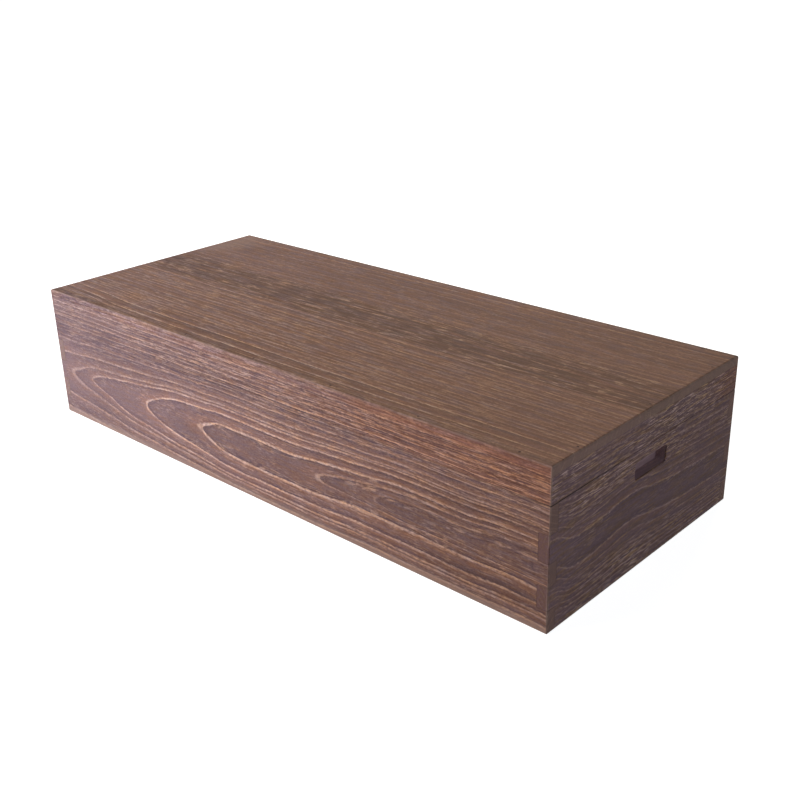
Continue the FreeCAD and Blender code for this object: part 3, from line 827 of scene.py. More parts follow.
class Finishes:
    """The shared groups, built once, and the finish of every board made from them."""

    def __init__(self, sizes: BoxSizes, wear: WearAndPaintedLight) -> None:
        """Build the shared groups.

        Args:
            sizes: The box's sizes.
            wear: How it has been charred and used, and the light painted into its hand holes.
        """
        self.sizes = sizes
        self.wear = wear
        self.shell = shell_group()
        self.rings = rings_group()
        self.lines = lines_group()
        self.fibre = fibre_group()
        self.tone = tone_group()
        self.joints = joint_group(sizes.comb)

    def scorched(self, graph: Graph, spot: Spot, scorch: Scorch) -> Feed:
        """Say how charred the wood is at a point.

        Args:
            graph: The material's graph.
            spot: The point's place.
            scorch: Where this piece has been charred.

        Returns:
            The share of the charred finish, 0 to 1.
        """
        depth, sizes, wear = spot.shell["Depth"], self.sizes, self.wear
        creep = graph.noise(spot.on_box(), (wear.creep_patch,) * 3, 5.0, 3.0, 0.6)
        limit = graph.scaled(creep, wear.char_creep, wear.char_depth)
        charred = graph.fade(depth, graph.plus(limit, wear.char_fade), limit)
        if scorch is Scorch.OUTSIDE:
            return charred
        wide = graph.minus(graph.unsigned(spot.shell["Y"]), sizes.hole_width / 2)
        tall = graph.minus(graph.apart(spot.shell["Z"], sizes.hole_level), sizes.hole_height / 2)
        hole = graph.fade(graph.most(wide, tall), *wear.hole_mouth)
        if scorch is Scorch.HAND_HOLE:
            return graph.most(charred, hole)
        start, end = (sizes.wall + depth_in for depth_in in wear.lip_char)
        return graph.times(hole, graph.fade(depth, start, end))

    def stained(self, graph: Graph, spot: Spot, cut: Cut) -> Feed:
        """Say where soot has stayed in a band along the board.

        Args:
            graph: The material's graph.
            spot: The point's place.
            cut: The board's cut.

        Returns:
            The stain's mask, 0 to 1.
        """
        band = graph.profile(spot.across, cut.stain)
        if isinstance(band, float):
            return band
        patches = graph.noise((spot.along, spot.across, 0.0), self.wear.stain_patch,
                              cut.seed + 5.0, 4.0, 0.65)
        band = graph.times(band, graph.profile(spot.along, cut.stain_along))
        return graph.times(band, graph.fade(patches, 0.4, 0.58))

    def grain(self, graph: Graph, spot: Spot, cut: Cut) -> tuple[Socket, Mapping[str, Feed]]:
        """Lay the growth rings and the fibres of a board's log through a point.

        Args:
            graph: The material's graph.
            spot: The point's place.
            cut: The board's cut.

        Returns:
            The distance from the pith, and the masks that the tone group takes.
        """
        along, across, through = spot.along, spot.across, spot.through
        rise = graph.profile(along, cut.rise)
        if cut.rise_below:
            rise = graph.between(graph.fade(across, *self.wear.below_heart), rise,
                                 graph.profile(along, cut.rise_below))
        log_place = graph.place(
            self.rings, Along=along, Across=across, Through=through, Rise=rise,
            Bend=graph.profile(along, cut.bend), Pith_depth=cut.pith_depth, Reach=cut.reach,
            Lower_stretch=cut.lower_stretch, Wander=graph.profile(along, cut.wander),
            Tip=cut.tip, Seed=cut.seed)
        radius = log_place["Radius"]
        index, width, strength = cut.rings.count(graph, radius, cut.seed)
        contrast = graph.profile(along, cut.contrast)
        strength = graph.times(strength, contrast)
        edge = self.wear.edge
        contrast = graph.times(contrast, graph.fade(through, *edge, 1.0, cut.edge_contrast))
        fineness = graph.fade(through, *edge, 1.0, cut.edge_grain)
        line_width = graph.times(cut.rings.line_width, graph.profile(radius, cut.line_share))
        lines = graph.place(
            self.lines, Index=index, Ring_width=width, Line_width=line_width, Along=along,
            Radius=radius, Slope=log_place["Slope"], Through=through, Breaks=cut.breaks,
            Break_length=cut.break_length, Thread_length=cut.thread_length,
            Thread_width=graph.times(fineness, cut.thread_width), Seed=cut.seed)
        fibre = graph.place(self.fibre, Along=along, Across=across, Through=through,
                            Length=cut.fleck_length,
                            Thickness=graph.times(fineness, cut.fleck_width), Seed=cut.seed)
        masks = {name: graph.times(lines[name], strength)
                 for name in ("Ridge", "Hollow", "Glow")}
        threads = graph.times(contrast, graph.profile(radius, cut.thread))
        flecks = graph.times(graph.times(contrast, cut.fleck),
                             graph.profile(radius, cut.fleck_share))
        return radius, {
            **masks, "Tone": lines["Tone"], "Cloud": fibre["Cloud"], "Speckle": fibre["Speckle"],
            "Thread": graph.between(threads, 0.5, lines["Thread"]),
            "Fleck": graph.times(fibre["Fleck"], flecks),
            "Pore": graph.times(fibre["Pore"], graph.times(contrast, cut.pore)),
            "Stain": self.stained(graph, spot, cut),
            "Drift": graph.scaled(graph.minus(fibre["Hue"], 0.5), cut.hue,
                                  graph.profile(along, cut.drift))}

    def weathered(self, graph: Graph, spot: Spot, radius: Socket, cut: Cut,
                  colour: Socket) -> Socket:
        """Lay a board's redder, lighter and darker places, its painted light and painted
        highlight, and what years of use have left over its charred colour.

        Args:
            graph: The material's graph.
            spot: The point's place.
            radius: The distance from the pith.
            cut: The board's cut.
            colour: The charred colour.

        Returns:
            The colour with its redder, lighter, darker, worn and sooty places, its painted
            highlight, and the painted light in its hand hole.
        """
        along, across, shell = spot.along, spot.across, spot.shell
        sizes, wear = self.sizes, self.wear
        red = graph.profile(along, cut.russet)
        if cut.russet_across != steady(1.0):
            red = graph.times(red, graph.profile(across, cut.russet_across))
        colour = graph.blend(red, colour, RUSSET, "MULTIPLY")
        if (cut.lift, cut.edge_lift) != (steady(0.0), steady(0.0)):
            light = graph.scaled(graph.profile(radius, cut.lift),
                                 graph.profile(along, cut.lift_along), 1.0)
            edge = graph.fade(spot.through, *wear.edge)
            light = graph.scaled(edge, graph.profile(along, cut.edge_lift), light)
            colour = graph.blend(edge, graph.dim(colour, light), cut.edge_tint, "MULTIPLY")
        # Painted light: the hand hole's walls and the lip behind it are blended towards a pale
        # plum that lightens their shade.
        if cut.scorch in (Scorch.HAND_HOLE, Scorch.BEHIND_HOLE):
            inside = graph.fade(shell["Depth"], *wear.plum_depth, 0.0, wear.plum_share)
            colour = graph.blend(inside, colour, PAINTED_HOLE_LIGHT)
        # Paler bands across the board: on the lid's front stave a painted highlight along its
        # front arris, on the front wall a pale band along its foot.
        if cut.pale != steady(0.0):
            colour = graph.blend(graph.profile(across, cut.pale), colour, WORN_AND_HIGHLIGHT)
        end = graph.fade(graph.minus(cut.end, graph.unsigned(along)), *wear.end_grain)
        colour = graph.blend(graph.times(end, graph.profile(along, cut.end_share)), colour,
                             cut.end_tone)
        worn = graph.noise(spot.on_box(), (wear.arris_patch,) * 3, 21.0, 3.0, 0.6)
        worn = graph.times(graph.fade(worn, 0.4, 0.62), graph.fade(shell["Edge"], *wear.arris))
        colour = graph.blend(graph.times(worn, wear.arris_share), colour, WORN_AND_HIGHLIGHT)
        if cut.rubbed:
            away = graph.slant(graph.plus(shell["X"], sizes.half_length),
                               graph.minus(shell["Y"], sizes.half_depth - wear.rubbed_setback))
            rubbed = graph.fade(away, *wear.rubbed_reach, 0.0, wear.rubbed_share * cut.rubbed)
            colour = graph.blend(rubbed, colour, WORN_AND_HIGHLIGHT)
        joints = graph.place(self.joints, X=shell["X"], Y=shell["Y"], Z=shell["Z"],
                             Half_length=sizes.half_length, Half_depth=sizes.half_depth,
                             Wall=sizes.wall)
        dark = graph.most(graph.times(joints["Joint"], wear.joint_share),
                          graph.times(joints["Seam"], graph.profile(along, cut.seam)))
        return graph.blend(dark, colour, SOOT)

    def board(self, name: str, cut: Cut) -> bpy.types.Material:
        """Make the finish of one board.

        Args:
            name: The material's name.
            cut: How the board was sawn and where it was charred.

        Returns:
            The material.
        """
        material = bpy.data.materials.new(name)
        graph = clean_graph(material)
        shell = graph.place(self.shell, Half_length=self.sizes.half_length,
                            Position=graph.node("ShaderNodeTexCoord").outputs["Object"],
                            Half_depth=self.sizes.half_depth, Height=self.sizes.height)
        along, place, level = (shell[axis.value] for axis in (cut.along, cut.across, cut.through))
        spot = Spot(along, graph.minus(place, cut.heart), graph.apart(level, cut.face), shell)
        radius, masks = self.grain(graph, spot, cut)
        bare = cut.inside.lay(graph, self.tone, masks)
        colour, rough, height = bare["Colour"], bare["Roughness"], bare["Height"]
        if cut.scorch is not Scorch.NONE:
            charred = cut.outside.lay(graph, self.tone, masks)
            share = self.scorched(graph, spot, cut.scorch)
            colour = graph.blend(share, colour, self.weathered(graph, spot, radius, cut,
                                                               charred["Colour"]))
            rough = graph.between(share, rough, charred["Roughness"])
            height = charred["Height"]
        bump = graph.fill(graph.node("ShaderNodeBump"), Strength=self.wear.relief,
                          Distance=self.wear.relief_height * MM, Height=height)
        shader = graph.fill(graph.node("ShaderNodeBsdfPrincipled"), Base_Color=colour,
                            Roughness=rough, Normal=bump.outputs[0],
                            Specular_IOR_Level=self.wear.gloss)
        graph.end("ShaderNodeOutputMaterial", shader)
        return material


def dress(node: str, material: bpy.types.Material) -> None:
    """Give a carried-over piece its finish.

    Args:
        node: The piece's name.
        material: Its finish.
    """
    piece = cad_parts[node]
    for slot in piece.material_slots:
        slot.material = material
    log.info("%s: %d faces, finish %s", node, len(piece.data.polygons), material.name)


@dataclass(frozen=True)
class Walls:
    """The four comb-jointed walls of the box."""

    sizes: BoxSizes
    front_rings: ListedRings = ListedRings((
        (28.1, 0.25), (33.3, 0.55), (39.3, 0.9), (49.2, 0.9), (56.6, 0.75), (60, 0.55),
        (67.7, 0.65), (79.8, 0.6), (90, 0.4), (97.3, 0.75), (107.4, 0.65), (113.2, 0.55),
        (119.4, 0.45), (126.5, 0.6), (134.5, 0.55)), line_width=2.1)
    end_tone: Colour = paint(94, 66, 59)
    end_rings: ListedRings = ListedRings((
        (48.5, 0.5), (54.3, 0.4), (60.5, 0.15), (63.6, 0.55), (68, 0.4), (74, 0.45), (79, 0.6),
        (84, 0.3), (90, 0.2), (97, 0.35), (104, 0.5), (110, 0.2), (116, 0.5)), line_width=2.2)
    front_rise: Profile = (
        (-455, -250), (-420, 0), (-405, 60), (-373, 390), (-330, 640), (-280, 905),
        (-230, 1225), (-155, 1900), (-100, 2100), (-67, 2320), (60, 2340), (125, 2525),
        (200, 2770), (250, 3000), (325, 3065), (400, 3150), (455, 3200))
    front_rise_below: Profile = (
        (-455, -200), (-420, 0), (-380, 180), (-330, 500), (-280, 950), (-230, 1220),
        (-180, 1600), (-130, 1880), (-93, 2140), (-55, 2350), (0, 2400), (100, 2420),
        (175, 2300), (288, 2420), (375, 2400), (455, 2450))
    front_bend: Profile = ((-455, 2.5), (-373, 1), (-260, 0), (60, 0), (120, 1), (200, 3.5),
                           (300, 4), (345, 3.5), (400, 6), (455, 4))
    end_bend: Profile = ((-194, 12), (-179, 10), (-132, -3), (-87, 0), (-44, 4), (6, -3),
                         (56, -10), (118, -15), (194, -19))

    def long_cut(self, side: int, heart: float, seed: float, **changes: object) -> Cut:
        """Return the cut of the front (-1) or the back (1) wall, flat-sawn boards.

        Args:
            side: The side of the box that the wall is on.
            heart: The heart line's height.
            seed: The board's seed.
            changes: Other values of the cut.

        Returns:
            The cut.
        """
        return Cut(along=Axis.X, across=Axis.Z, through=Axis.Y, rings=self.front_rings,
                   face=side * self.sizes.half_depth, heart=heart, seed=seed,
                   end=self.sizes.half_length, **changes)

    def front_cut(self) -> Cut:
        """Saw the front wall, with its nested arches.

        Returns:
            The cut.
        """
        return self.long_cut(
            -1, 70.5, 3.0, rise=self.front_rise, rise_below=self.front_rise_below,
            bend=self.front_bend, lower_stretch=1.2, breaks=0.65,
            wander=((-455, 1), (-100, 1.3), (200, 3.2), (455, 3)),
            # Painted sheen: the front is tinted cooler at the left end and warmer towards the
            # right, as the light falls on it.
            drift=((-455, 0.05), (0, 0.35), (455, 0.7)),
            contrast=((-455, 0.6), (-300, 0.75), (-200, 0.9), (100, 1.05), (455, 1)),
            stain=((40, 0), (58, 0.4), (76, 0.5), (82, 0)),
            stain_along=((-455, 1), (-280, 0.9), (-100, 0.5), (20, 0)),
            line_share=((39, 1.4), (62, 1.4), (80, 1.2), (92, 0.95), (150, 0.9)),
            lift=((30, 0.08), (37, 0.12), (43, 0.2), (50, 0.3), (56, 0.28), (62, 0.14),
                  (80, 0.12), (90, 0), (106, 0.02), (118, 0.1)),
            lift_along=((-455, 0.6), (-300, 0.8), (0, 0.85), (150, 0.4), (260, 0),
                        (340, -0.6), (455, -0.8)),
            pale=((-70.5, 0.55), (-66, 0.45), (-59, 0)),
            thread=((0, 0.6), (38, 0.5), (50, 0.3), (68, 0.35), (92, 0.65), (150, 0.65)),
            thread_width=1.5, thread_length=70.0, fleck=0.3, fleck_length=12.0,
            fleck_width=1.6, end_share=((-455, 0.15), (0, 0.2), (455, 0.8)),
            seam=((-455, 0), (250, 0.1), (360, 0.3), (455, 0.8)))

    def back_cut(self) -> Cut:
        """Saw the back wall.

        Returns:
            The cut.
        """
        return self.long_cut(
            1, 64.0, 29.0, rise=tuple((-x, y) for x, y in reversed(self.front_rise)),
            bend=((-455, -8), (-150, 4), (120, -3), (455, 6)), wander=steady(3.0))

    def end_cut(self, side: int) -> Cut:
        """Saw the left or the right wall.

        Args:
            side: -1 for the left wall, 1 for the right.

        Returns:
            The cut.
        """
        return Cut(
            along=Axis.Y, across=Axis.Z, through=Axis.X, face=side * self.sizes.half_length,
            heart=82.5, end=self.sizes.half_depth, rings=self.end_rings, bend=self.end_bend,
            pith_depth=45.0, reach=60.0, wander=steady(1.8), breaks=0.9, break_length=14.0,
            fleck=0.65 + 0.2 * side, fleck_length=18.0, fleck_width=1.4,
            fleck_share=((48, 0.4), (58, 0.55), (68, 1), (76, 1.6), (112, 1.6)),
            thread=((48, 0.15), (60, 0.2), (70, 0.32), (150, 0.32)),
            thread_length=24.0, thread_width=2.0, drift=steady(0.24), hue=1.4, outside=MOTTLED,
            lift=steady(-0.14), lift_along=((-194, 0), (-100, 0.4), (0, 0.6), (194, 1)),
            contrast=((-194, 0.55), (-150, 0.9), (-90, 1.2), (0, 1.15), (80, 1.1), (194, 1)),
            seam=((-194, 0.9), (-80, 0.75), (-40, 0.2), (194, 0.15)),
            end_tone=self.end_tone if side > 0 else WORN_AND_HIGHLIGHT, end_share=steady(0.4 + 0.2 * side),
            scorch=Scorch.HAND_HOLE, seed=11.0 + side)

    def dress(self, finishes: Finishes) -> None:
        """Give the four walls their finishes.

        Args:
            finishes: The maker of their finishes.
        """
        for name, cut in (("front", self.front_cut()), ("back", self.back_cut()),
                          ("left", self.end_cut(-1)), ("right", self.end_cut(1))):
            node = f"{name}_board" if cut.along is Axis.X else f"{name}_end_board"
            dress(node, finishes.board(f"charred {name} wall", cut))


@dataclass(frozen=True)
class Lips:
    """The thin bare boards inside the walls, which centre the lid."""

    inner_length: float = 435.0
    inner_depth: float = 174.0
    rings: EvenRings = EvenRings(step=7.0)

    def dress(self, finishes: Finishes) -> None:
        """Give the four lip boards their bare finish.

        Args:
            finishes: The maker of their finishes.
        """
        sides = (("lip_front", "lip_left", -1), ("lip_back", "lip_right", 1))
        for number, (long, short, side) in enumerate(sides):
            dress(long, finishes.board(f"bare {long}", Cut(
                along=Axis.X, across=Axis.Z, through=Axis.Y, face=side * self.inner_depth,
                heart=40.0, rings=self.rings, scorch=Scorch.NONE, seed=43.0 + number)))
            dress(short, finishes.board(f"bare {short}", Cut(
                along=Axis.Y, across=Axis.Z, through=Axis.X, face=side * self.inner_length,
                heart=60.0, rings=self.rings, scorch=Scorch.BEHIND_HOLE, drift=steady(0.2),
                seed=51.0 + number)))


@dataclass(frozen=True)
class BottomPanel:
    """The three bare staves of the bottom."""

    face: float = 12.0
    hearts: tuple[float, ...] = (-150.0, 10.0, 120.0)
    rings: EvenRings = EvenRings(step=9.0, line_width=2.4)

    def dress(self, finishes: Finishes) -> None:
        """Give the bottom's staves their bare finish.

        Args:
            finishes: The maker of their finishes.
        """
        for name, heart in zip(("front", "middle", "back"), self.hearts):
            cut = Cut(along=Axis.X, across=Axis.Y, through=Axis.Z, face=self.face, heart=heart,
                      rings=self.rings, pith_depth=40.0, wander=steady(4.0),
                      rise=((-455, 0), (0, 500), (455, 1100)),
                      scorch=Scorch.NONE, seed=61.0 + heart)
            dress(f"bottom_stave_{name}", finishes.board(f"bare bottom {name}", cut))


@dataclass(frozen=True)
class Lid:
    """The lid: a top board of three staves on four mitred rails."""

    sizes: BoxSizes
    walls: Walls
    end_tone: Colour = paint(133, 108, 98)
    front_rings: ListedRings = ListedRings((
        (86.5, 0.3), (89, 0.3), (96.8, 0.8), (111.5, 0.9), (124.4, 0.35), (131.5, 0.5),
        (137.7, 0.35), (144, 0.4), (150.5, 0.5), (158.8, 0.15), (167.1, 0.4), (178.4, 0.3),
        (186, 0.4), (193.5, 0.35), (199.3, 0.3), (206.9, 0.4), (214.6, 0.4), (229, 0.5)),
        line_width=2.8)
    back_rings: ListedRings = ListedRings((
        (84, 0.2), (92.2, 0.4), (104.8, 0.15), (117.5, 0.25), (132, 0.1), (146.8, 0.2),
        (156.9, 0.15), (174.6, 0.2), (182.1, 0.2)), line_width=2.6)

    def stave_cut(self, heart: float, rings: Union[ListedRings, EvenRings], seed: float,
                  **changes: object) -> Cut:
        """Return the cut of a stave of the top board.

        Args:
            heart: The heart line's place from front to back.
            rings: The stave's growth rings.
            seed: The stave's seed.
            changes: Other values of the cut.

        Returns:
            The cut.
        """
        return Cut(along=Axis.X, across=Axis.Y, through=Axis.Z, face=self.sizes.height,
                   heart=heart, rings=rings, end=self.sizes.half_length, seed=seed,
                   outside=LID_TOP, end_tone=self.end_tone, end_share=steady(0.7),
                   edge_grain=0.45, edge_contrast=1.5,
                   drift=((-455, 0.45), (0, 0.7), (455, 1)), **changes)

    def staves(self) -> Mapping[str, Cut]:
        """Saw the top board's three staves.

        Returns:
            Their cuts by name.
        """
        front = self.stave_cut(
            -254.0, self.front_rings, 71.0, wander=steady(1.2), breaks=0.8, break_length=32.0,
            contrast=((-455, 0.8), (-200, 1), (100, 0.95), (455, 0.65)), reach=110.0,
            thread=steady(0.36), thread_width=3.4, thread_length=90.0,
            fleck=0.35, fleck_width=3.0, fleck_length=20.0,
            edge_lift=((-455, -0.2), (-330, -0.16), (-200, -0.1), (-60, -0.05), (60, -0.18),
                       (240, -0.12), (455, -0.12)),
            edge_tint=(1.06, 1.02, 1.2, 1.0),
            russet=((-455, 0), (60, 0), (230, 0.4), (455, 0.55)),
            russet_across=((60, 1), (60.4, 1), (61, 0), (450, 0)),
            # Painted highlight: a thin pale line on the top along its front arris.
            pale=((60, 0), (60.4, 0.08), (61.5, 0.06), (62, 0)),
            stain=((61.2, 0), (62.6, 0.8), (69, 0.8), (74, 0.1), (79, 0.1), (84, 0.6),
                   (90, 0.1), (95, 0)),
            stain_along=((-455, 1), (100, 0.9), (300, 0.5), (455, 0.4)),
            bend=((-455, 20), (-375, 14), (-255, 1), (0, 0), (205, 2), (365, 6), (455, 8)))
        middle = self.stave_cut(
            14.0, EvenRings(step=6.0, uneven=0.9, strength=0.4), 77.0, wander=steady(9.0),
            pith_depth=34.0, reach=900.0, breaks=0.8,
            thread=steady(0.5), thread_width=3.2, thread_length=60.0,
            fleck=0.5, fleck_width=2.5, fleck_length=24.0,
            stain=((-50, 0), (-35, 0.8), (20, 0.9), (45, 0)),
            rise=((-455, 0), (-100, 500), (455, 200)))
        back = self.stave_cut(
            244.0, self.back_rings, 83.0, wander=steady(1.4), breaks=0.5, reach=900.0,
            rubbed=1.0, stain=((-144, 0), (-120, 0.35), (-60, 0.35), (-50, 0)),
            stain_along=((-455, 0), (100, 0), (300, 0.7), (455, 1)),
            fleck=0.2, fleck_width=3.2, fleck_length=14.0,
            thread=steady(0.25), thread_width=3.4, thread_length=70.0)
        return {"front": front, "middle": middle, "back": back}

    def rails(self) -> Mapping[str, Cut]:
        """Saw the four rails, each out of the same log as the wall below it.

        Returns:
            Their cuts by name.
        """
        left, right = self.walls.end_cut(-1), self.walls.end_cut(1)
        return {"front": replace(self.walls.front_cut(), end=Cut.end,
                                 russet=((-455, 0), (0, 0.05), (200, 0.25), (455, 0.4))),
                "back": replace(self.walls.back_cut(), end=Cut.end),
                "left": replace(left, end=Cut.end, scorch=Scorch.OUTSIDE),
                "right": replace(right, end=Cut.end, scorch=Scorch.OUTSIDE,
                                 russet=((-194, 0), (60, 0), (194, 0.5)))}

    def dress(self, finishes: Finishes) -> None:
        """Give the staves and the rails their finishes.

        Args:
            finishes: The maker of their finishes.
        """
        for kind, cuts in (("stave", self.staves()), ("rail", self.rails())):
            for name, cut in cuts.items():
                dress(f"lid_{kind}_{name}", finishes.board(f"charred lid {kind} {name}", cut))


def peg_tree() -> bpy.types.GeometryNodeTree:
    """Build the tree that drives a whittled peg into every point it is given.

    A point's "head" is the direction that its peg's flat head faces. The shank is a faceted
    dowel that narrows to its tip, and each peg is turned by a chance of its own.

    Returns:
        The tree, with the peg's sizes, its seed and its material as named inputs.
    """
    tree = bpy.data.node_groups.new("whittled pegs", "GeometryNodeTree")
    inputs = (("Geometry", "Geometry"), ("Radius", "Float"), ("Length", "Float"),
              ("Taper", "Float"), ("Chamfer", "Float"), ("Sides", "Int"), ("Seed", "Int"),
              ("Material", "Material"))
    for title, kind in inputs:
        tree.interface.new_socket(name=title, in_out="INPUT", socket_type=f"NodeSocket{kind}")
    tree.interface.new_socket(name="Geometry", in_out="OUTPUT", socket_type="NodeSocketGeometry")
    graph = Graph(tree)
    taken = graph.node("NodeGroupInput").outputs
    facet, facet_middle, facet_depth = 2.0 * MM, 0.7, 0.12
    tip_start, tip_depth, head_depth = 0.9, 0.35, 0.06

    dowel = graph.fill(graph.node("GeometryNodeMeshCylinder", fill_type="TRIANGLE_FAN"),
                       Vertices=taken["Sides"], Side_Segments=12, Fill_Segments=2,
                       Radius=taken["Radius"], Depth=taken["Length"])

    spot = graph.node("GeometryNodeInputPosition").outputs[0]
    east, north, height = graph.parts(spot)
    sunk = graph.minus(graph.times(taken["Length"], 0.5), height)
    share = graph.over(sunk, taken["Length"])
    waist = graph.minus(1.0, graph.times(taken["Taper"], share))
    knife = graph.fill(graph.node("ShaderNodeTexNoise"), Vector=spot, Scale=1.0 / facet,
                       Detail=0.0)
    carved = graph.times(graph.minus(knife.outputs[0], facet_middle), facet_depth)
    waist = graph.plus(waist, carved)
    tip = graph.times(graph.fade(share, tip_start, 1.0), tip_depth)
    head = graph.times(graph.fade(sunk, taken["Chamfer"], 0.0), head_depth)
    waist = graph.minus(waist, graph.plus(tip, head))
    shaped = graph.vector(graph.times(east, waist), graph.times(north, waist),
                          graph.times(sunk, -1.0))
    whittled = graph.fill(graph.node("GeometryNodeSetPosition"), Geometry=dowel.outputs["Mesh"],
                          Position=shaped)

    facing = graph.fill(graph.node("GeometryNodeInputNamedAttribute", data_type="FLOAT_VECTOR"),
                        Name="head")
    aim = graph.fill(graph.node("FunctionNodeAlignRotationToVector", axis="Z"),
                     Vector=facing.outputs["Attribute"])
    turn = graph.fill(graph.node("FunctionNodeRandomValue", data_type="FLOAT"),
                      Seed=taken["Seed"])
    graph.feed(turn.inputs[3], math.tau)
    spun = graph.fill(graph.node("FunctionNodeAxisAngleToRotation"), Axis=(0.0, 0.0, 1.0),
                      Angle=turn.outputs[1])
    both = graph.fill(graph.node("FunctionNodeRotateRotation", rotation_space="LOCAL"),
                      Rotation=aim.outputs[0], Rotate_By=spun.outputs[0])

    driven = graph.fill(graph.node("GeometryNodeInstanceOnPoints"), Points=taken["Geometry"],
                        Instance=whittled.outputs[0], Rotation=both.outputs[0])
    real = graph.fill(graph.node("GeometryNodeRealizeInstances"), Geometry=driven.outputs[0])
    finish = graph.fill(graph.node("GeometryNodeSetMaterial"), Geometry=real.outputs[0],
                        Material=taken["Material"])
    graph.fill(graph.node("NodeGroupOutput"), Geometry=finish.outputs[0])
    return tree


@dataclass(frozen=True)
class PegRows:
    """One set of pegs: a row along each long side and a few at each end."""

    radius: float
    length: float
    level: float
    row_side: float
    reach: float
    count: int
    row_end: float
    places: tuple[float, ...]
    inward: bool
    seed: int

    def heads(self) -> list[tuple[Vector, Vector]]:
        """Set the pegs out.

        Returns:
            Each peg's head and the way it faces, into the box or else up.
        """
        up = Vector((0.0, 0.0, 1.0))
        row = [self.reach * (2 * step / (self.count - 1) - 1) for step in range(self.count)]
        heads = [(Vector((place, side * self.row_side, self.level)),
                  Vector((0.0, -side, 0.0)) if self.inward else up)
                 for side in (-1, 1) for place in row]
        return heads + [(Vector((side * self.row_end, place, self.level)),
                         Vector((-side, 0.0, 0.0)) if self.inward else up)
                        for side in (-1, 1) for place in self.places]


@dataclass(frozen=True)
class Pegs:
    """The whittled wooden pegs of the lid and of the lips, which are the box's only fixings."""

    lid: PegRows = PegRows(radius=1.5, length=26.0, level=197.5, row_side=187.2, reach=410.0,
                           count=7, row_end=448.2, places=(-140.0, 0.0, 140.0),
                           inward=False, seed=4)
    lips: PegRows = PegRows(radius=1.2, length=13.0, level=123.1, row_side=174.0, reach=396.0,
                            count=6, row_end=435.0, places=(-135.0, -49.5, 49.5, 135.0),
                            inward=True, seed=9)
    taper: float = 0.12
    chamfer: float = 0.3
    sides: int = 11

    def drive(self, tree: bpy.types.GeometryNodeTree, name: str, rows: PegRows,
              material: bpy.types.Material, node: str, body: str) -> None:
        """Make one body's pegs in place of its plain ones.

        Args:
            tree: The tree that makes the pegs.
            name: The new piece's name.
            rows: The pegs' sizes and places.
            material: Their finish.
            node: The piece of the model that the pegs stand for.
            body: The body that they ride on.
        """
        heads = rows.heads()
        sizes = {"Radius": rows.radius * MM, "Length": rows.length * MM, "Taper": self.taper,
                 "Chamfer": self.chamfer * MM, "Sides": self.sides, "Seed": rows.seed,
                 "Material": material}
        points = bpy.data.meshes.new(f"{name}_points")
        points.from_pydata([head * MM for head, _ in heads], [], [])
        facing = points.attributes.new("head", "FLOAT_VECTOR", "POINT")
        for entry, (_, way) in zip(facing.data, heads):
            entry.vector = way
        seedlings = bpy.data.objects.new(f"{name}_points", points)
        show(seedlings)
        modifier = seedlings.modifiers.new("pegs", "NODES")
        modifier.node_group = tree
        for socket in tree.interface.items_tree:
            if socket.in_out == "INPUT" and socket.name in sizes:
                modifier[socket.identifier] = sizes[socket.name]
        graph = bpy.context.evaluated_depsgraph_get()
        mesh = bpy.data.meshes.new_from_object(seedlings.evaluated_get(graph), depsgraph=graph)
        seedlings.modifiers.clear()
        bpy.data.objects.remove(seedlings)
        mesh.name = name
        pegs = bpy.data.objects.new(name, mesh)
        show(pegs)
        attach(pegs, body)
        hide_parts(node)
        log.info("%s: %d pegs, %d faces", name, len(heads), len(mesh.polygons))

    def build(self, finishes: Finishes) -> None:
        """Drive the lid's pegs and the lips' pegs.

        Args:
            finishes: The maker of their finishes.
        """
        tree = peg_tree()
        grain = Cut(along=Axis.Z, across=Axis.X, through=Axis.Y, face=0.0, heart=0.0,
                    rings=EvenRings(step=0.8, line_width=0.3), fleck_length=3.0,
                    fleck_width=0.3, outside=PEG_HEAD, inside=PEG, seed=91.0)
        lid = finishes.board("lid peg wood", grain)
        lips = finishes.board("lip peg wood", replace(grain, along=Axis.Y, through=Axis.Z,
                                                      scorch=Scorch.NONE))
        self.drive(tree, "whittled_lid_pegs", self.lid, lid, "lid_pegs", "lid")
        self.drive(tree, "whittled_lip_pegs", self.lips, lips, "lip_pegs", "box")


@dataclass(frozen=True)
class Camera:
    """The camera that took the photograph, solved from the box's own corners."""

    azimuth: float = 43.06775
    elevation: float = 23.54837
    roll: float = -1.45388
    distance: float = 1743.28
    target: tuple[float, float, float] = (-81.08, 163.47, 0.0)
    lens: float = 50.05
    sensor: float = 36.0
    clip_metres: tuple[float, float] = (0.01, 100.0)

    def place(self) -> None:
        """Make the camera and look through it."""
        azimuth, elevation, roll = (math.radians(angle) for angle in
                                    (self.azimuth, self.elevation, self.roll))
        back = Vector((math.sin(azimuth) * math.cos(elevation),
                       -math.cos(azimuth) * math.cos(elevation), math.sin(elevation)))
        level = (-back).cross(Vector((0.0, 0.0, 1.0))).normalized()
        upright = level.cross(-back)
        right = level * math.cos(roll) + upright * math.sin(roll)
        up = upright * math.cos(roll) - level * math.sin(roll)
        data = bpy.data.cameras.new("photograph")
        data.lens = self.lens
        data.sensor_width = self.sensor
        data.clip_start, data.clip_end = self.clip_metres
        camera = bpy.data.objects.new("photograph", data)
        turn = Matrix((right, up, back)).transposed().to_4x4()
        spot = (Vector(self.target) + back * self.distance) * MM
        camera.matrix_world = Matrix.Translation(spot) @ turn
        show(camera)
        bpy.context.scene.camera = camera


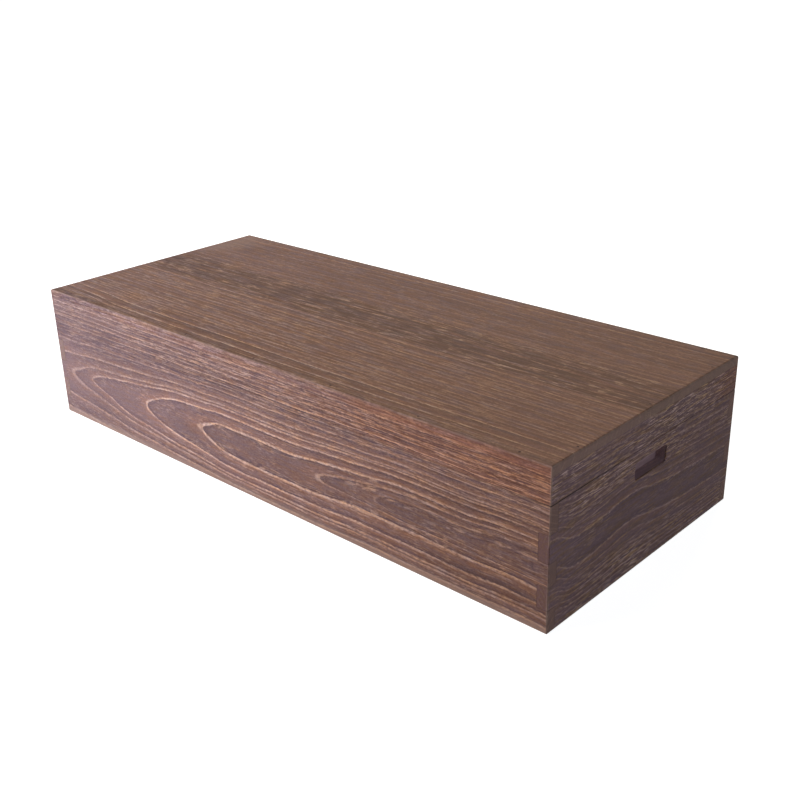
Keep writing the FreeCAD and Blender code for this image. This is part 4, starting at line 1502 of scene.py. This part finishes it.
@dataclass(frozen=True)
class Lamp:
    """A soft lamp, in metres and watts."""

    name: str
    place: tuple[float, float, float]
    target: tuple[float, float, float]
    width: float
    height: float
    power: float
    colour: tuple[float, float, float]

    def hang(self) -> None:
        """Make the lamp and point it at its target."""
        data = bpy.data.lights.new(self.name, "AREA")
        data.shape = "RECTANGLE"
        data.size, data.size_y = self.width, self.height
        data.energy = self.power
        data.color = self.colour
        lamp = bpy.data.objects.new(self.name, data)
        aim = Vector(self.target) - Vector(self.place)
        lamp.matrix_world = (Matrix.Translation(self.place)
                             @ aim.to_track_quat("-Z", "Y").to_matrix().to_4x4())
        show(lamp)


@dataclass(frozen=True)
class Studio:
    """The white floor and surroundings, and the lamps."""

    floor_reach: float = 20.0
    floor_drop: float = 0.3
    floor_colour: Colour = (0.6, 0.6, 0.6, 1.0)
    floor_rough: float = 0.9
    floor_gloss: float = 0.1
    shadow_reach: tuple[float, float] = (0.55, 1.4)
    shadow_glow: float = 0.9
    sky: float = 0.03
    lamps: tuple[Lamp, ...] = (
        Lamp("left window", (-1.5, -1.9, 1.1), (-0.2, 0.0, 0.05), 1.8, 1.4, 62.0,
             (1.05, 0.985, 0.965)),
        Lamp("near lamp", (-1.0, -0.9, 0.6), (-0.4, -0.19, 0.08), 0.8, 0.6, 9.2,
             (0.8, 1.0, 1.2)),
        Lamp("back lamp", (-0.7, 1.6, 1.6), (-0.2, 0.0, 0.15), 1.6, 1.2, 21.0,
             (1.1, 1.0, 0.86)),
        Lamp("right fill", (2.4, -0.2, 1.0), (0.4, 0.0, 0.1), 1.4, 1.2, 12.5,
             (0.86, 1.0, 1.14)),
    )

    def seen(self, graph: Graph) -> Socket:
        """Return a mask of what the camera sees, straight or in a gloss."""
        paths = graph.node("ShaderNodeLightPath").outputs
        return graph.most(paths["Is Camera Ray"], paths["Is Glossy Ray"])

    def floor(self) -> None:
        """Lay the floor, which keeps the box's shadow and shows white where it is lit."""
        mesh = bpy.data.meshes.new("floor")
        reach, level = self.floor_reach, -self.floor_drop * MM
        mesh.from_pydata([(-reach, -reach, level), (reach, -reach, level),
                          (reach, reach, level), (-reach, reach, level)], [], [(0, 1, 2, 3)])
        material = bpy.data.materials.new("white floor")
        graph = clean_graph(material)
        east, north, _ = graph.parts(graph.node("ShaderNodeTexCoord").outputs["Object"])
        glow = graph.fade(graph.slant(east, north), *self.shadow_reach, self.shadow_glow, 1.0)
        shader = graph.fill(graph.node("ShaderNodeBsdfPrincipled"), Base_Color=self.floor_colour,
                            Roughness=self.floor_rough, Specular_IOR_Level=self.floor_gloss,
                            Emission_Color=WHITE,
                            Emission_Strength=graph.times(self.seen(graph), glow))
        graph.end("ShaderNodeOutputMaterial", shader)
        mesh.materials.append(material)
        floor = bpy.data.objects.new("floor", mesh)
        show(floor)

    def surround(self) -> None:
        """Make the world: white to the camera, a plain soft light on the box."""
        world = bpy.data.worlds.new("white room")
        graph = clean_graph(world)
        strength = graph.between(self.seen(graph), self.sky, 1.0)
        shader = graph.fill(graph.node("ShaderNodeBackground"), Color=WHITE, Strength=strength)
        graph.end("ShaderNodeOutputWorld", shader)
        bpy.context.scene.world = world

    def build(self) -> None:
        """Build the room and hang its lamps."""
        self.floor()
        self.surround()
        for lamp in self.lamps:
            lamp.hang()
        bpy.context.scene.view_settings.view_transform = "Standard"


def main() -> None:
    """Build and dress everything."""
    logging.basicConfig(level=logging.INFO, format="%(name)s: %(message)s")
    sizes = BoxSizes()
    finishes = Finishes(sizes, WearAndPaintedLight())
    walls = Walls(sizes)
    walls.dress(finishes)
    Lips().dress(finishes)
    BottomPanel().dress(finishes)
    Lid(sizes, walls).dress(finishes)
    Pegs().build(finishes)
    Camera().place()
    Studio().build()


if __name__ == "__main__":
    main()
